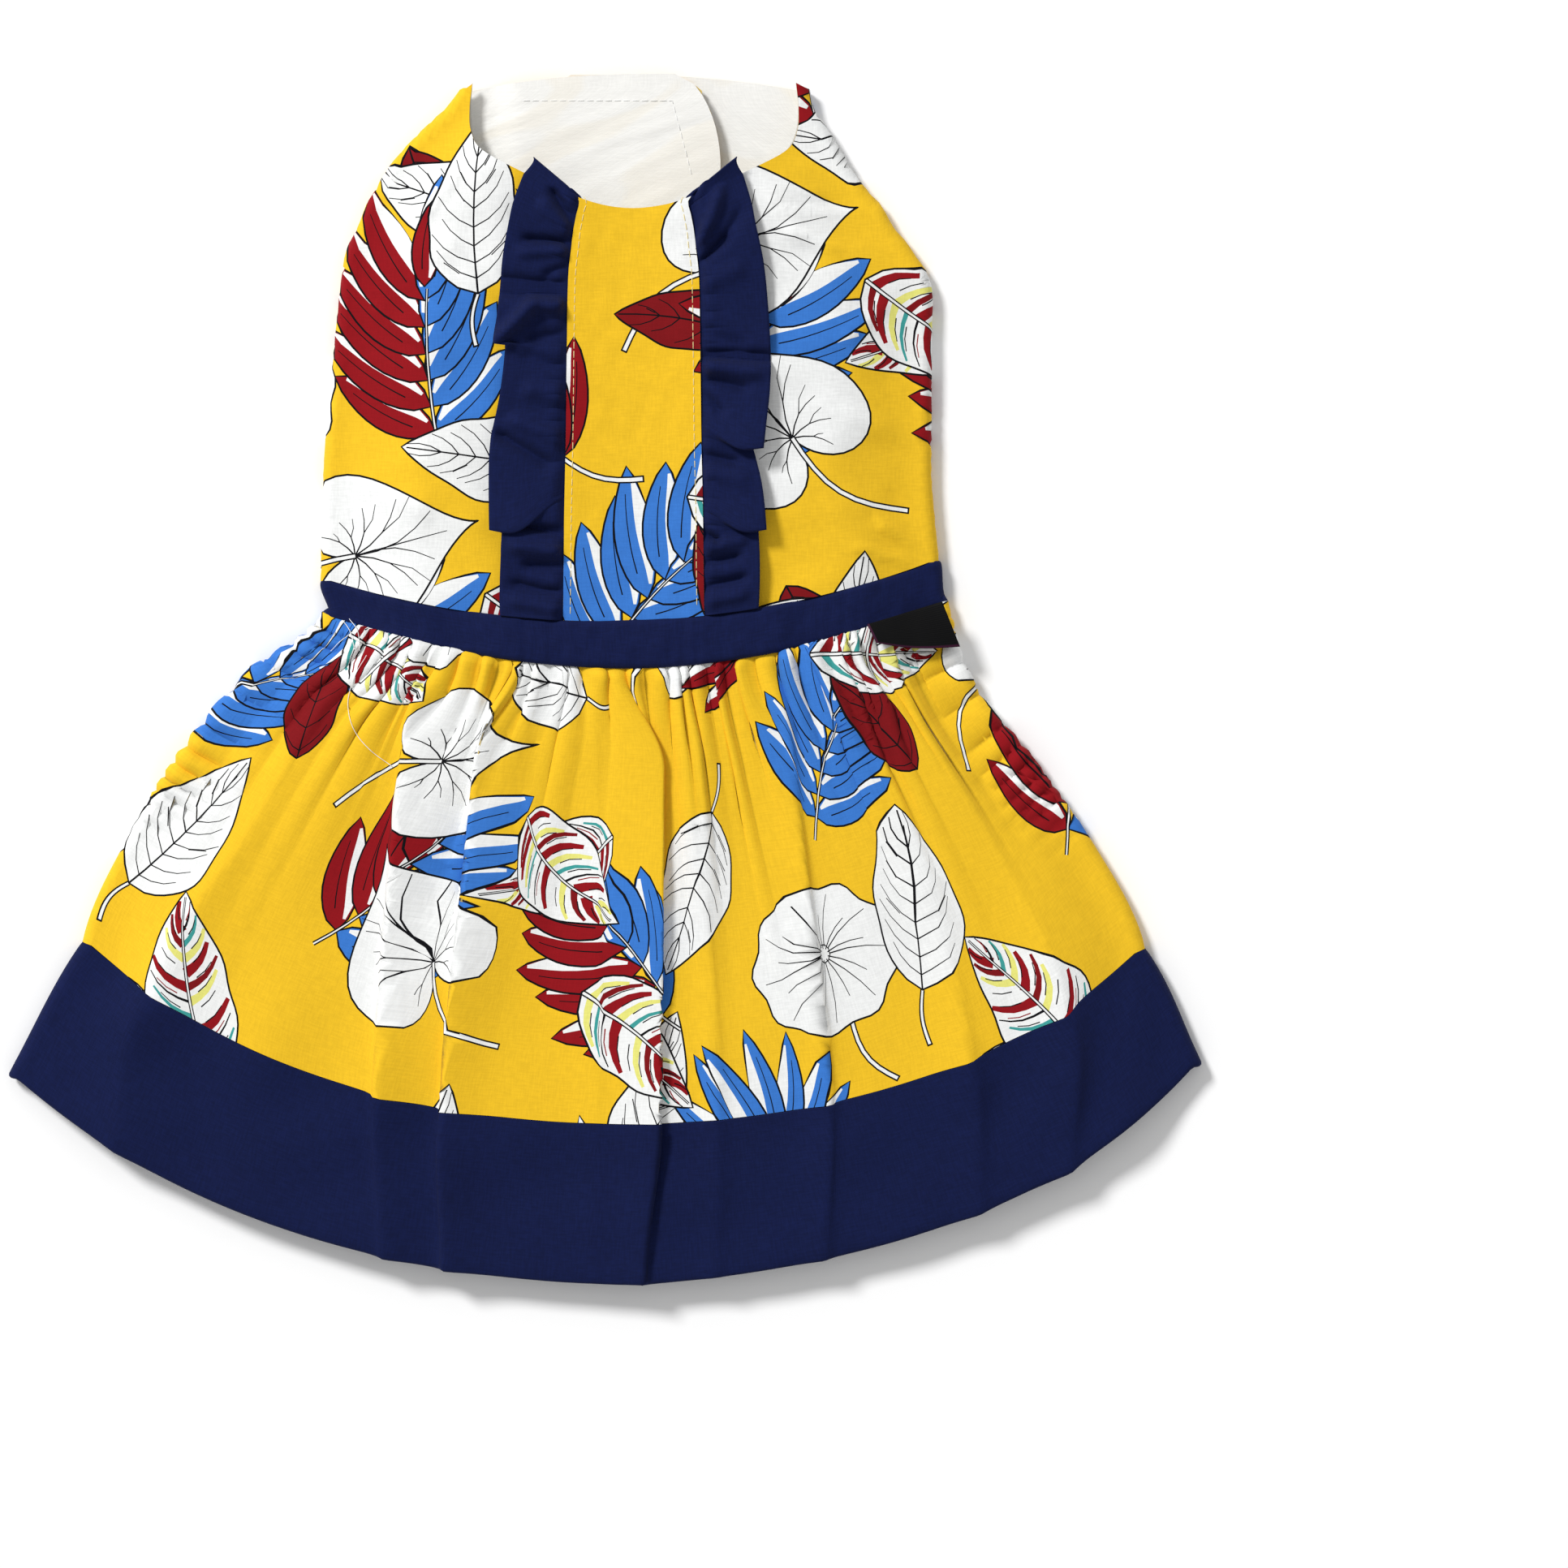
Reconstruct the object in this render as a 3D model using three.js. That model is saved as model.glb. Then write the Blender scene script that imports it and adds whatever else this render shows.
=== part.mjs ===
// Cotton dress for a small dog, lying flat with its back up.
// Millimetres. +X is to the right, +Y towards the neck, +Z up from what it lies on.
import * as THREE from 'three';

// Cloth
const CLOTH = 1;
const CLEARANCE = 0.3;
const LAYER = CLOTH + CLEARANCE;

// Bodice, laid flat
const CHEST_WIDTH = 187.5;
const NECK_WIDTH = 103;
const NECK_DEPTH = 40;
const BODICE_LENGTH = 126;
const PLACKET_WIDTH = 40;
const PLACKET_DIP = 1.2;
const PLACKET_SCOOP = 3.5;
const RUFFLE_WIDTH = 20;
const RUFFLE_TUCK = 1;
const RUFFLE_RISE = 12;
const RUFFLE_FRILL = 3.4;
const RUFFLE_WAVES = 10;

// Straps that close under the chest and the belly
const CHEST_STRAP_DEPTH = 56;
const CHEST_STRAP_RISE = 2.5;
const CHEST_OVERLAP = 60;
const CHEST_OVERLAP_X = -3.5;
const CHEST_END_ROUND = 14;
const BELLY_STRAP_DEPTH = 66;
const BELLY_STRAP_DROP = 15.5;
const BELLY_OVERLAP = 83;
const BELLY_OVERLAP_X = -1.5;
const BELLY_END_ROUND = 3;
const LEG_EDGE_WIDTH = 4.5;
const STRAP_SETTLES = 54;
const CLOSURE_WIDTH = 26;
const CLOSURE_LENGTH = 36;
const CLOSURE_THICKNESS = 1.2;
const CLOSURE_CORNER = 3;

// Waistband, skirt and hem
const WAIST_WIDTH = 192.5;
const WAISTBAND_DEPTH = 14;
const WAISTBAND_THICKNESS = 2;
const WAIST_CURVE = 18;
const WAIST_SAG = 8.5;
const SKIRT_LENGTH = 140;
const HEM_DEPTH = 48.5;
const HEM_WIDTH = 366;
const HEM_LEAN = 9;
const HEM_CURVE = 60;
const HEM_TURN_UP = 7.5;
const HEM_TUCKED_IN = 2.5;
const LINING_SIDE_MARGIN = 12;

// Height of the layers over what the dress lies on
const FOLD_RADIUS = 3;
const BACK_HEIGHT = 14;
const SKIRT_HEIGHT = 10;
const RISE_RUN = 30;
const RAMP_RUN = 10;
const RAMP_MARGIN = 1.5;

// Gathers and folds of the skirt
const GATHERS = 22;
const GATHER_HEIGHT = 2.6;
const GATHER_REACH = 0.22;
const FOLD_HEIGHT = 4;
const FOLD_SLOPE = 13;
const FOLD_DROP = 4;

// Label at the right end of the waistband
const LABEL_WIDTH = 23;
const LABEL_DEPTH = 11;
const LABEL_FROM_SIDE = 22;

const HALF_CHEST = CHEST_WIDTH / 2;
const HALF_NECK = NECK_WIDTH / 2;
const HALF_PLACKET = PLACKET_WIDTH / 2;
const HALF_WAIST = WAIST_WIDTH / 2;
const LOW = CLOTH / 2;
const CLOSURE_LEVEL = LOW + LAYER + CLOTH / 2 + CLEARANCE;
const INNER_FLAP_LEVEL = CLOSURE_LEVEL + CLOSURE_THICKNESS + CLEARANCE + CLOTH / 2;

// Rows of the bodice, from the shoulder tips down to the waist.
// down: 0 to 1 is the neck's depth, 1 to 2 the bodice's length below it.
// out: from half the neck's width (0) to half the chest's (1).
// neck and placket: shares of half the neck's and half the placket's width.
// waist: how far the row already follows the curve of the waist.
const BODICE_ROWS = [
  { at: 0, foldDown: 0.06, edgeDown: 0.01, outLeft: 0.06, outRight: 0.07, neck: 0.965, placket: 0, waist: 0 },
  { at: 1, foldDown: 0.23, edgeDown: 0.2, outLeft: 0.21, outRight: 0.19, neck: 0.98, placket: 0, waist: 0 },
  { at: 2, foldDown: 0.42, edgeDown: 0.385, outLeft: 0.38, outRight: 0.33, neck: 0.97, placket: 0, waist: 0 },
  { at: 3, foldDown: 0.62, edgeDown: 0.54, outLeft: 0.55, outRight: 0.44, neck: 0.9, placket: 0, waist: 0 },
  { at: 4, foldDown: 0.81, edgeDown: 0.71, outLeft: 0.66, outRight: 0.55, neck: 0.66, placket: 0, waist: 0 },
  { at: 5, foldDown: 1.01, edgeDown: 0.9, outLeft: 0.76, outRight: 0.68, neck: 0, placket: 0.88, waist: 0 },
  { at: 6, foldDown: 1.1, edgeDown: 1.07, outLeft: 0.87, outRight: 0.83, neck: 0, placket: 0.94, waist: 0 },
  { at: 7, foldDown: 1.18, edgeDown: 1.16, outLeft: 0.91, outRight: 0.93, neck: 0, placket: 1, waist: 0 },
  { at: 8, foldDown: 1.31, edgeDown: 1.31, outLeft: 0.95, outRight: 0.935, neck: 0, placket: 1.02, waist: 0.05 },
  { at: 9, foldDown: 1.46, edgeDown: 1.46, outLeft: 0.99, outRight: 0.935, neck: 0, placket: 1.03, waist: 0.15 },
  { at: 10, foldDown: 1.58, edgeDown: 1.58, outLeft: 1.02, outRight: 0.935, neck: 0, placket: 1.04, waist: 0.3 },
  { at: 11, foldDown: 1.72, edgeDown: 1.72, outLeft: 1.04, outRight: 0.935, neck: 0, placket: 1.06, waist: 0.5 },
  { at: 12, foldDown: 1.86, edgeDown: 1.86, outLeft: 1.05, outRight: 0.96, neck: 0, placket: 1.07, waist: 0.75 },
  { at: 13, foldDown: 2, edgeDown: 2, outLeft: 1.055, outRight: 0.99, neck: 0, placket: 1.08, waist: 1 },
];
const NECKLINE_ROW = 5;
const CHEST_STRAP_LAST = 7;
const BELLY_STRAP_FIRST = 10;
const WAIST_ROW = 13;
const TAB_LAST = 15;

// Rows of the waistband, skirt and hem: -1 is the waistband's top, 0 its lower edge,
// 1 the top of the hem band and 2 the hem.
// flare: from half the waist's width (0) to half the hem's (1). mid: where the cloth half
// way to the side lies. rise: how far the row rises there, of the waist's or the hem's curve.
// curve: from the waist's curve (0) to the hem's (1). under: share of a half folded under.
const SKIRT_ROWS = [
  { at: -1, flareLeft: 0, flareRight: -0.03, midLeft: 0.5, midRight: 0.5, riseLeft: 0.69, riseMidLeft: 0.12, riseMidRight: 0.28, riseRight: 1.01, curve: 0, under: 0.24 },
  { at: 0, flareLeft: 0, flareRight: 0, midLeft: 0.5, midRight: 0.5, riseLeft: 0.86, riseMidLeft: 0.22, riseMidRight: 0.31, riseRight: 1.1, curve: 0, under: 0.24 },
  { at: 0.25, flareLeft: 0.24, flareRight: 0.09, midLeft: 0.5, midRight: 0.55, riseLeft: 1, riseMidLeft: 0.25, riseMidRight: 0.28, riseRight: 0.98, curve: 0.29, under: 0.42 },
  { at: 0.5, flareLeft: 0.47, flareRight: 0.34, midLeft: 0.51, midRight: 0.56, riseLeft: 1.03, riseMidLeft: 0.26, riseMidRight: 0.27, riseRight: 1.05, curve: 0.46, under: 0.48 },
  { at: 0.75, flareLeft: 0.64, flareRight: 0.58, midLeft: 0.54, midRight: 0.565, riseLeft: 1.08, riseMidLeft: 0.27, riseMidRight: 0.27, riseRight: 1.1, curve: 0.63, under: 0.49 },
  { at: 1, flareLeft: 0.765, flareRight: 0.78, midLeft: 0.56, midRight: 0.57, riseLeft: 1.04, riseMidLeft: 0.26, riseMidRight: 0.27, riseRight: 1, curve: 0.82, under: 0.44 },
  { at: 2, flareLeft: 1, flareRight: 1, midLeft: 0.56, midRight: 0.6, riseLeft: 1.05, riseMidLeft: 0.28, riseMidRight: 0.35, riseRight: 1.11, curve: 1, under: 0.4 },
];

// Main folds that run from the waist to the hem. waist and hem: where they start and end,
// as shares of a half. height: share of the deepest. drop: the side they fall off to.
const SKIRT_FOLDS = [
  { waist: -0.82, hem: -0.9, height: 0.4, drop: -1 },
  { waist: -0.66, hem: -0.47, height: 0.65, drop: -1 },
  { waist: -0.45, hem: -0.35, height: 0.85, drop: -1 },
  { waist: -0.2, hem: -0.14, height: 0.35, drop: 1 },
  { waist: 0.09, hem: 0.045, height: 1, drop: 1 },
  { waist: 0.33, hem: 0.2, height: 0.35, drop: 1 },
  { waist: 0.5, hem: 0.38, height: 0.65, drop: 1 },
  { waist: 0.76, hem: 0.84, height: 0.75, drop: 1 },
];

// Ruffles, from the neckline (0) to the waist (1), as shares of the ruffle's width.
const RUFFLE_ROWS = [
  { at: 0, left: 0.72, right: 0.78 },
  { at: 0.12, left: 0.98, right: 0.96 },
  { at: 0.3, left: 1, right: 1.04 },
  { at: 0.48, left: 1.08, right: 1 },
  { at: 0.62, left: 1.12, right: 0.84 },
  { at: 0.8, left: 1.02, right: 0.92 },
  { at: 1, left: 0.9, right: 0.78 },
];

const mix = (a, b, share) => a + (b - a) * share;
const clamp = (value, low, high) => Math.min(Math.max(value, low), high);

function smooth(share) {
  const s = clamp(share, 0, 1);
  return s * s * (3 - 2 * s);
}

// A smooth curve through one column of a table.
function track(table, column, at) {
  const last = table.length - 1;
  const place = clamp(at, table[0].at, table[last].at);
  let i = 0;
  while (i < last - 1 && place > table[i + 1].at) i += 1;
  const slope = (k) => {
    const before = table[Math.max(k - 1, 0)];
    const after = table[Math.min(k + 1, last)];
    return (after[column] - before[column]) / (after.at - before.at);
  };
  const span = table[i + 1].at - table[i].at;
  const s = (place - table[i].at) / span;
  const start = table[i][column] * (1 + 2 * s) * (1 - s) ** 2;
  const end = table[i + 1][column] * s * s * (3 - 2 * s);
  return start + end + span * s * (1 - s) * ((1 - s) * slope(i) - s * slope(i + 1));
}

// A smooth curve over one half of the dress: 0 at the centre, then half way, then the side.
function overHalf(half, side, share) {
  const s = Math.abs(share);
  const bend = 2 * side - 4 * half;
  return s * (side - bend * (1 - s));
}

// How far the skirt's row hangs below the waistband's top, at the centre.
function skirtDrop(row) {
  if (row < 0) return WAISTBAND_DEPTH * (1 + row);
  if (row < 1) return WAISTBAND_DEPTH + SKIRT_LENGTH * row;
  return WAISTBAND_DEPTH + SKIRT_LENGTH + HEM_DEPTH * (row - 1);
}

// A place on the flat lay of the waistband, skirt and hem: -1 is the left side fold, 1 the right.
function skirtPlan(share, row) {
  const hand = share < 0 ? 'Left' : 'Right';
  const halfHem = HEM_WIDTH / 2 - Math.sign(share) * HEM_LEAN;
  const flare = track(SKIRT_ROWS, `flare${hand}`, row);
  const half = HALF_WAIST + (halfHem - HALF_WAIST) * flare - FOLD_RADIUS;
  const mid = track(SKIRT_ROWS, `mid${hand}`, row);
  const curve = mix(WAIST_CURVE, HEM_CURVE, track(SKIRT_ROWS, 'curve', row));
  const riseMid = track(SKIRT_ROWS, `riseMid${hand}`, row);
  const riseSide = track(SKIRT_ROWS, `rise${hand}`, row);
  return {
    x: Math.sign(share) * half * overHalf(mid, 1, share),
    y: curve * overHalf(riseMid, riseSide, share) - skirtDrop(row),
    half,
  };
}

// The way out from a side fold, square to the line of the fold.
function outFrom(line, side, row) {
  const step = 0.05;
  const before = line(row - step);
  const after = line(row + step);
  const length = Math.hypot(after.x - before.x, after.y - before.y);
  return new THREE.Vector3(side * (before.y - after.y), side * (after.x - before.x), 0).divideScalar(length);
}

// The round of a side fold, from the top (0) to underneath (1).
function aroundFold(base, out, turned) {
  const turn = turned * Math.PI;
  const place = new THREE.Vector3(base.x, base.y, LOW + FOLD_RADIUS * (1 + Math.cos(turn)));
  return place.addScaledVector(out, FOLD_RADIUS * Math.sin(turn));
}

// How far the waist's seam and what hangs from it sink below its curve, where it is folded under.
function underSag(side, share, row) {
  const inward = (1 - Math.abs(share)) / track(SKIRT_ROWS, 'under', row);
  return WAIST_SAG * smooth(1 - row / GATHER_REACH) * smooth(inward * 2);
}

// The gathers under the waistband and the folds that they open into.
function skirtFolds(share, row, plan) {
  if (row <= 0) return 0;
  const fromSide = (1 - Math.abs(share)) * plan.half;
  const gather = 0.5 + 0.5 * Math.cos(Math.PI * GATHERS * (share + 1));
  let height = GATHER_HEIGHT * gather * Math.exp(-row / GATHER_REACH);
  for (const fold of SKIRT_FOLDS) {
    const middle = mix(fold.waist, fold.hem, Math.min(row, 1));
    const away = (share - middle) * plan.half * fold.drop;
    const reach = away < 0 ? FOLD_SLOPE : FOLD_DROP;
    height += FOLD_HEIGHT * fold.height * smooth(row / GATHER_REACH) * Math.exp(-((away / reach) ** 2));
  }
  return height * smooth(fromSide / FOLD_SLOPE);
}

// The cloth of the waistband, skirt and hem as one surface.
// column: -3 to -2 folded under at the left, -2 to -1 round the side fold, -1 to 1 on top,
// 1 to 2 round the right side fold, 2 to 3 folded under at the right.
function skirtSurface(column, row, folded = true) {
  const side = Math.sign(column);
  const share = clamp(column, -1, 1);
  const plan = skirtPlan(share, row);
  const height = mix(BACK_HEIGHT, SKIRT_HEIGHT, clamp(row / 2, 0, 1));
  const foldTop = LOW + 2 * FOLD_RADIUS;
  if (Math.abs(column) <= 1) {
    const fromSide = (1 - Math.abs(share)) * plan.half;
    const base = mix(foldTop, height, smooth(fromSide / RISE_RUN));
    const wave = folded ? skirtFolds(share, row, plan) : 0;
    return new THREE.Vector3(plan.x, plan.y, base + wave);
  }
  if (Math.abs(column) <= 2) {
    const out = outFrom((at) => skirtPlan(side, at), side, row);
    return aroundFold(plan, out, Math.abs(column) - 1);
  }
  const inward = Math.abs(column) - 2;
  const inShare = side * (1 - inward * track(SKIRT_ROWS, 'under', row));
  const under = skirtPlan(inShare, row);
  const tucked = HEM_TUCKED_IN * clamp(row, 0, 2) * smooth(inward * 2);
  return new THREE.Vector3(under.x, under.y + tucked - underSag(side, inShare, row), LOW);
}

// The waist's curve, which the bodice's lower edge follows on top and underneath.
function waistShare(x) {
  const side = x < 0 ? -1 : 1;
  return clamp(x / skirtPlan(side, -1).half, -1, 1);
}

function waistRise(x) {
  return skirtPlan(waistShare(x), -1).y;
}

function waistUnder(side, x) {
  const inmost = 1 - track(SKIRT_ROWS, 'under', -1);
  const share = side * Math.max(side * waistShare(x), inmost);
  return skirtPlan(share, -1).y - underSag(side, share, -1);
}

// Where the belly strap leaves the waist seam, just inside the waistband's end.
function strapRoot(side) {
  const inmost = 1 - track(SKIRT_ROWS, 'under', -1);
  return skirtPlan(side * inmost, -1).x - side * 2 * CLEARANCE;
}

function bodiceHeight(down) {
  if (down < 1) return BODICE_LENGTH + NECK_DEPTH * (1 - down);
  return BODICE_LENGTH * (2 - down);
}

// The edge of the bodice's side panel: the neckline, then the seam beside the placket.
function panelEdge(side, row) {
  const neck = HALF_NECK * track(BODICE_ROWS, 'neck', row);
  const x = side * (neck + HALF_PLACKET * track(BODICE_ROWS, 'placket', row));
  const follow = track(BODICE_ROWS, 'waist', row) * waistRise(x);
  return { x, y: bodiceHeight(track(BODICE_ROWS, 'edgeDown', row)) + follow };
}

// The side fold of the bodice, where the back turns under.
function sideFold(side, row) {
  const out = track(BODICE_ROWS, side < 0 ? 'outLeft' : 'outRight', row);
  const x = side * (HALF_NECK + (HALF_CHEST - HALF_NECK) * out - FOLD_RADIUS);
  const follow = track(BODICE_ROWS, 'waist', row) * waistRise(x);
  return { x, y: bodiceHeight(track(BODICE_ROWS, 'foldDown', row)) + follow };
}

// The free end of a strap's flap, and the height of its rows there.
function flapEnd(side, row) {
  if (row <= CHEST_STRAP_LAST + 0.5) {
    const share = clamp(row / CHEST_STRAP_LAST, 0, 1);
    const top = BODICE_LENGTH + NECK_DEPTH + CHEST_STRAP_RISE;
    const round = CHEST_END_ROUND * Math.sqrt(Math.sin(Math.PI * share) + 1e-6);
    const reach = CHEST_OVERLAP / 2 - CHEST_END_ROUND + round;
    return { x: CHEST_OVERLAP_X - side * reach, y: top - CHEST_STRAP_DEPTH * share };
  }
  const share = clamp((row - BELLY_STRAP_FIRST) / (TAB_LAST - BELLY_STRAP_FIRST), 0, 1);
  const round = BELLY_END_ROUND * Math.sqrt(Math.sin(Math.PI * share) + 1e-6);
  const reach = BELLY_OVERLAP / 2 - BELLY_END_ROUND + round;
  const waistShare = (WAIST_ROW - BELLY_STRAP_FIRST) / (TAB_LAST - BELLY_STRAP_FIRST);
  const upper = BELLY_STRAP_DEPTH - BELLY_STRAP_DROP;
  const above = upper * (1 - Math.min(share / waistShare, 1));
  const below = BELLY_STRAP_DROP * Math.max((share - waistShare) / (1 - waistShare), 0);
  return { x: BELLY_OVERLAP_X - side * reach, y: above - below };
}

// Where the left flap starts to climb over the end of the right one.
function rampStart(row) {
  const widest = row <= CHEST_STRAP_LAST + 0.5 ? CHEST_STRAP_LAST / 2 : WAIST_ROW;
  return flapEnd(1, widest).x - RAMP_MARGIN - RAMP_RUN;
}

// A strap's places from the side fold to its free end: the fold, the leg opening's edge, the
// root, the start and end of the climb over the other flap, and the free end.
function strapPlaces(side, row, foldX) {
  const end = flapEnd(side, row).x;
  const edge = foldX - side * LEG_EDGE_WIDTH;
  const root = side * Math.min(side * strapRoot(side), side * edge - CLOTH);
  if (side > 0) return [foldX, edge, root, mix(root, end, 0.3), mix(root, end, 0.5), end];
  const start = Math.max(rampStart(row), root + CLOTH / 2);
  return [foldX, edge, root, start, rampStart(row) + RAMP_RUN, end];
}

// One half of the bodice as one surface. column: 0 centre, 1 seam beside the placket or
// neckline, 2 to 3 round the side fold, 4 the leg opening's edge, 5 the strap's root,
// 6 to 7 the climb over the other flap, 8 the free end of the strap.
function bodiceSurface(side, column, row) {
  const edge = panelEdge(side, row);
  const fold = sideFold(side, row);
  const foldX = fold.x;
  const foldTop = LOW + 2 * FOLD_RADIUS;
  const topLevel = (x) => mix(foldTop, BACK_HEIGHT, smooth(Math.abs(foldX - x) / RISE_RUN));
  if (column <= 1) {
    const x = edge.x * column;
    const waist = track(BODICE_ROWS, 'waist', row) * waistRise(0);
    const neckline = Math.max(track(BODICE_ROWS, 'edgeDown', row), 0.99);
    return new THREE.Vector3(x, mix(bodiceHeight(neckline) + waist, edge.y, column), topLevel(x));
  }
  if (column <= 2) {
    const x = mix(edge.x, foldX, column - 1);
    const straight = mix(edge.y, fold.y, column - 1);
    const waistRow = track(BODICE_ROWS, 'waist', row);
    const curved = waistRise(x) - mix(waistRise(edge.x), waistRise(fold.x), column - 1);
    return new THREE.Vector3(x, straight + waistRow * curved, topLevel(x));
  }
  if (column <= 3) return aroundFold(fold, outFrom((at) => sideFold(side, at), side, row), column - 2);
  const end = flapEnd(side, row);
  const places = strapPlaces(side, row, foldX);
  const step = Math.min(Math.floor(column) - 3, places.length - 2);
  const x = mix(places[step], places[step + 1], column - 3 - step);
  if (row > CHEST_STRAP_LAST && row < BELLY_STRAP_FIRST) return new THREE.Vector3(x, fold.y, LOW);
  const inward = 1 - (1 - clamp(Math.abs(x - foldX) / STRAP_SETTLES, 0, 1)) ** 2;
  const toWaist = waistUnder(side, x) - mix(sideFold(side, WAIST_ROW).y, 0, inward);
  const y = mix(fold.y, end.y, inward) + track(BODICE_ROWS, 'waist', row) * toWaist;
  const climb = side < 0 ? smooth((x - rampStart(row)) / RAMP_RUN) : 0;
  return new THREE.Vector3(x, y, mix(LOW, INNER_FLAP_LEVEL, climb));
}

// A cloth wall over a surface, with its two faces and its cut edges, as one closed mesh.
// present says which cells of the grid are cloth; lift moves the wall out from the surface.
function clothWall({ columns, rows, surface, outward, present = () => true, lift = 0, wall = CLOTH }) {
  const step = 1e-3;
  const faces = [];
  const corners = columns.map(() => rows.map(() => null));
  const positions = [];
  const corner = (i, j) => {
    if (corners[i][j]) return corners[i][j];
    const across = surface(columns[i] + step, rows[j]).sub(surface(columns[i] - step, rows[j]));
    const along = surface(columns[i], rows[j] + step).sub(surface(columns[i], rows[j] - step));
    const normal = across.cross(along).normalize().multiplyScalar(outward);
    const middle = surface(columns[i], rows[j]);
    const pair = [0.5, -0.5].map((half) => {
      const place = middle.clone().addScaledVector(normal, lift + half * wall);
      positions.push(place.x, place.y, place.z);
      return positions.length / 3 - 1;
    });
    corners[i][j] = pair;
    return pair;
  };
  const quad = (a, b, c, d) => {
    if (outward > 0) faces.push(a, b, c, a, c, d);
    else faces.push(a, c, b, a, d, c);
  };
  const has = (i, j) => {
    if (i < 0 || j < 0 || i >= columns.length - 1 || j >= rows.length - 1) return false;
    return present((columns[i] + columns[i + 1]) / 2, (rows[j] + rows[j + 1]) / 2);
  };
  for (let i = 0; i < columns.length - 1; i += 1) {
    for (let j = 0; j < rows.length - 1; j += 1) {
      if (!has(i, j)) continue;
      const [a, b, c, d] = [corner(i, j), corner(i + 1, j), corner(i + 1, j + 1), corner(i, j + 1)];
      quad(a[0], b[0], c[0], d[0]);
      quad(a[1], d[1], c[1], b[1]);
      if (!has(i, j - 1)) quad(a[1], b[1], b[0], a[0]);
      if (!has(i + 1, j)) quad(b[1], c[1], c[0], b[0]);
      if (!has(i, j + 1)) quad(c[1], d[1], d[0], c[0]);
      if (!has(i - 1, j)) quad(d[1], a[1], a[0], d[0]);
    }
  }
  const geometry = new THREE.BufferGeometry();
  geometry.setAttribute('position', new THREE.Float32BufferAttribute(positions, 3));
  geometry.setIndex(faces);
  geometry.computeVertexNormals();
  return geometry;
}

function evenly(from, to, count) {
  return Array.from({ length: count + 1 }, (_, i) => mix(from, to, i / count));
}

const MUSTARD_PRINT = new THREE.MeshStandardMaterial({ color: 0xe9b723, roughness: 0.85, metalness: 0 });
const NAVY = new THREE.MeshStandardMaterial({ color: 0x1c2450, roughness: 0.85, metalness: 0 });
const WHITE = new THREE.MeshStandardMaterial({ color: 0xf3f2ee, roughness: 0.9, metalness: 0 });
const BLACK = new THREE.MeshStandardMaterial({ color: 0x141414, roughness: 0.7, metalness: 0 });

const dress = new THREE.Group();

function addPiece(name, geometry, material) {
  const mesh = new THREE.Mesh(geometry, material);
  mesh.name = name;
  dress.add(mesh);
  return mesh;
}

const TOP_COLUMNS = [1, 1.3, 1.56, 1.7, 1.85, 2];
const UNDER_COLUMNS = [2.33, 2.67, 3, 4, 5, 6, 6.33, 6.67, 7, 7.5, 8];
const PANEL_COLUMNS = [...TOP_COLUMNS, ...UNDER_COLUMNS];
const PANEL_ROWS = [0, 1, 2, 3, 3.5, 4, 4.5, 5, 6, 7, 8.5, 10, 11, 12, 13, 15];

// What part of a bodice half is cloth: the straps leave the leg opening between them, and
// the belly strap reaches a little below the waist.
function bodiceCloth(column, row) {
  if (row > WAIST_ROW) return column > 5;
  if (row > CHEST_STRAP_LAST && row < BELLY_STRAP_FIRST) return column < 4;
  if (row < NECKLINE_ROW) return column > 1;
  return true;
}

// Rows end a clearance short of the waistband.
const waistGap = (row) => (row === WAIST_ROW ? WAIST_ROW - CLEARANCE / (BODICE_LENGTH * 0.14) : row);

function addBodicePanel(name, side) {
  const geometry = clothWall({
    columns: PANEL_COLUMNS,
    rows: PANEL_ROWS.map(waistGap),
    surface: (column, row) => bodiceSurface(side, column, row),
    outward: -side,
    present: bodiceCloth,
  });
  addPiece(name, geometry, MUSTARD_PRINT);
}

addBodicePanel('bodice_left', -1);
addBodicePanel('bodice_right', 1);

const liningSide = [0, 0.5, ...PANEL_COLUMNS];
const liningColumns = [...liningSide.slice(1).reverse().map((column) => -column), ...liningSide];
addPiece('bodice_lining', clothWall({
  columns: liningColumns,
  rows: PANEL_ROWS.map(waistGap),
  surface: (column, row) => bodiceSurface(column < 0 ? -1 : 1, Math.abs(column), row),
  outward: -1,
  present: (column, row) => bodiceCloth(Math.abs(column), row),
  lift: -LAYER,
}), WHITE);

// The placket lies over the inner edges of both ruffles.
function placketSurface(share, row) {
  const left = panelEdge(-1, row);
  const right = panelEdge(1, row);
  const x = mix(left.x, right.x, (share + 1) / 2);
  const bow = 1 - share * share;
  const scoop = PLACKET_SCOOP * smooth(NECKLINE_ROW + 1 - row);
  const waist = track(BODICE_ROWS, 'waist', row) * waistRise(x);
  const y = bodiceHeight(track(BODICE_ROWS, 'edgeDown', row)) + waist - scoop * bow;
  return new THREE.Vector3(x, y, BACK_HEIGHT + 2 * LAYER - PLACKET_DIP * bow);
}

addPiece('placket', clothWall({
  columns: evenly(-1, 1, 6),
  rows: [5, 5.5, 6, 7, 8, 9, 10, 11, 12, 13].map(waistGap),
  surface: placketSurface,
  outward: -1,
}), MUSTARD_PRINT);

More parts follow.
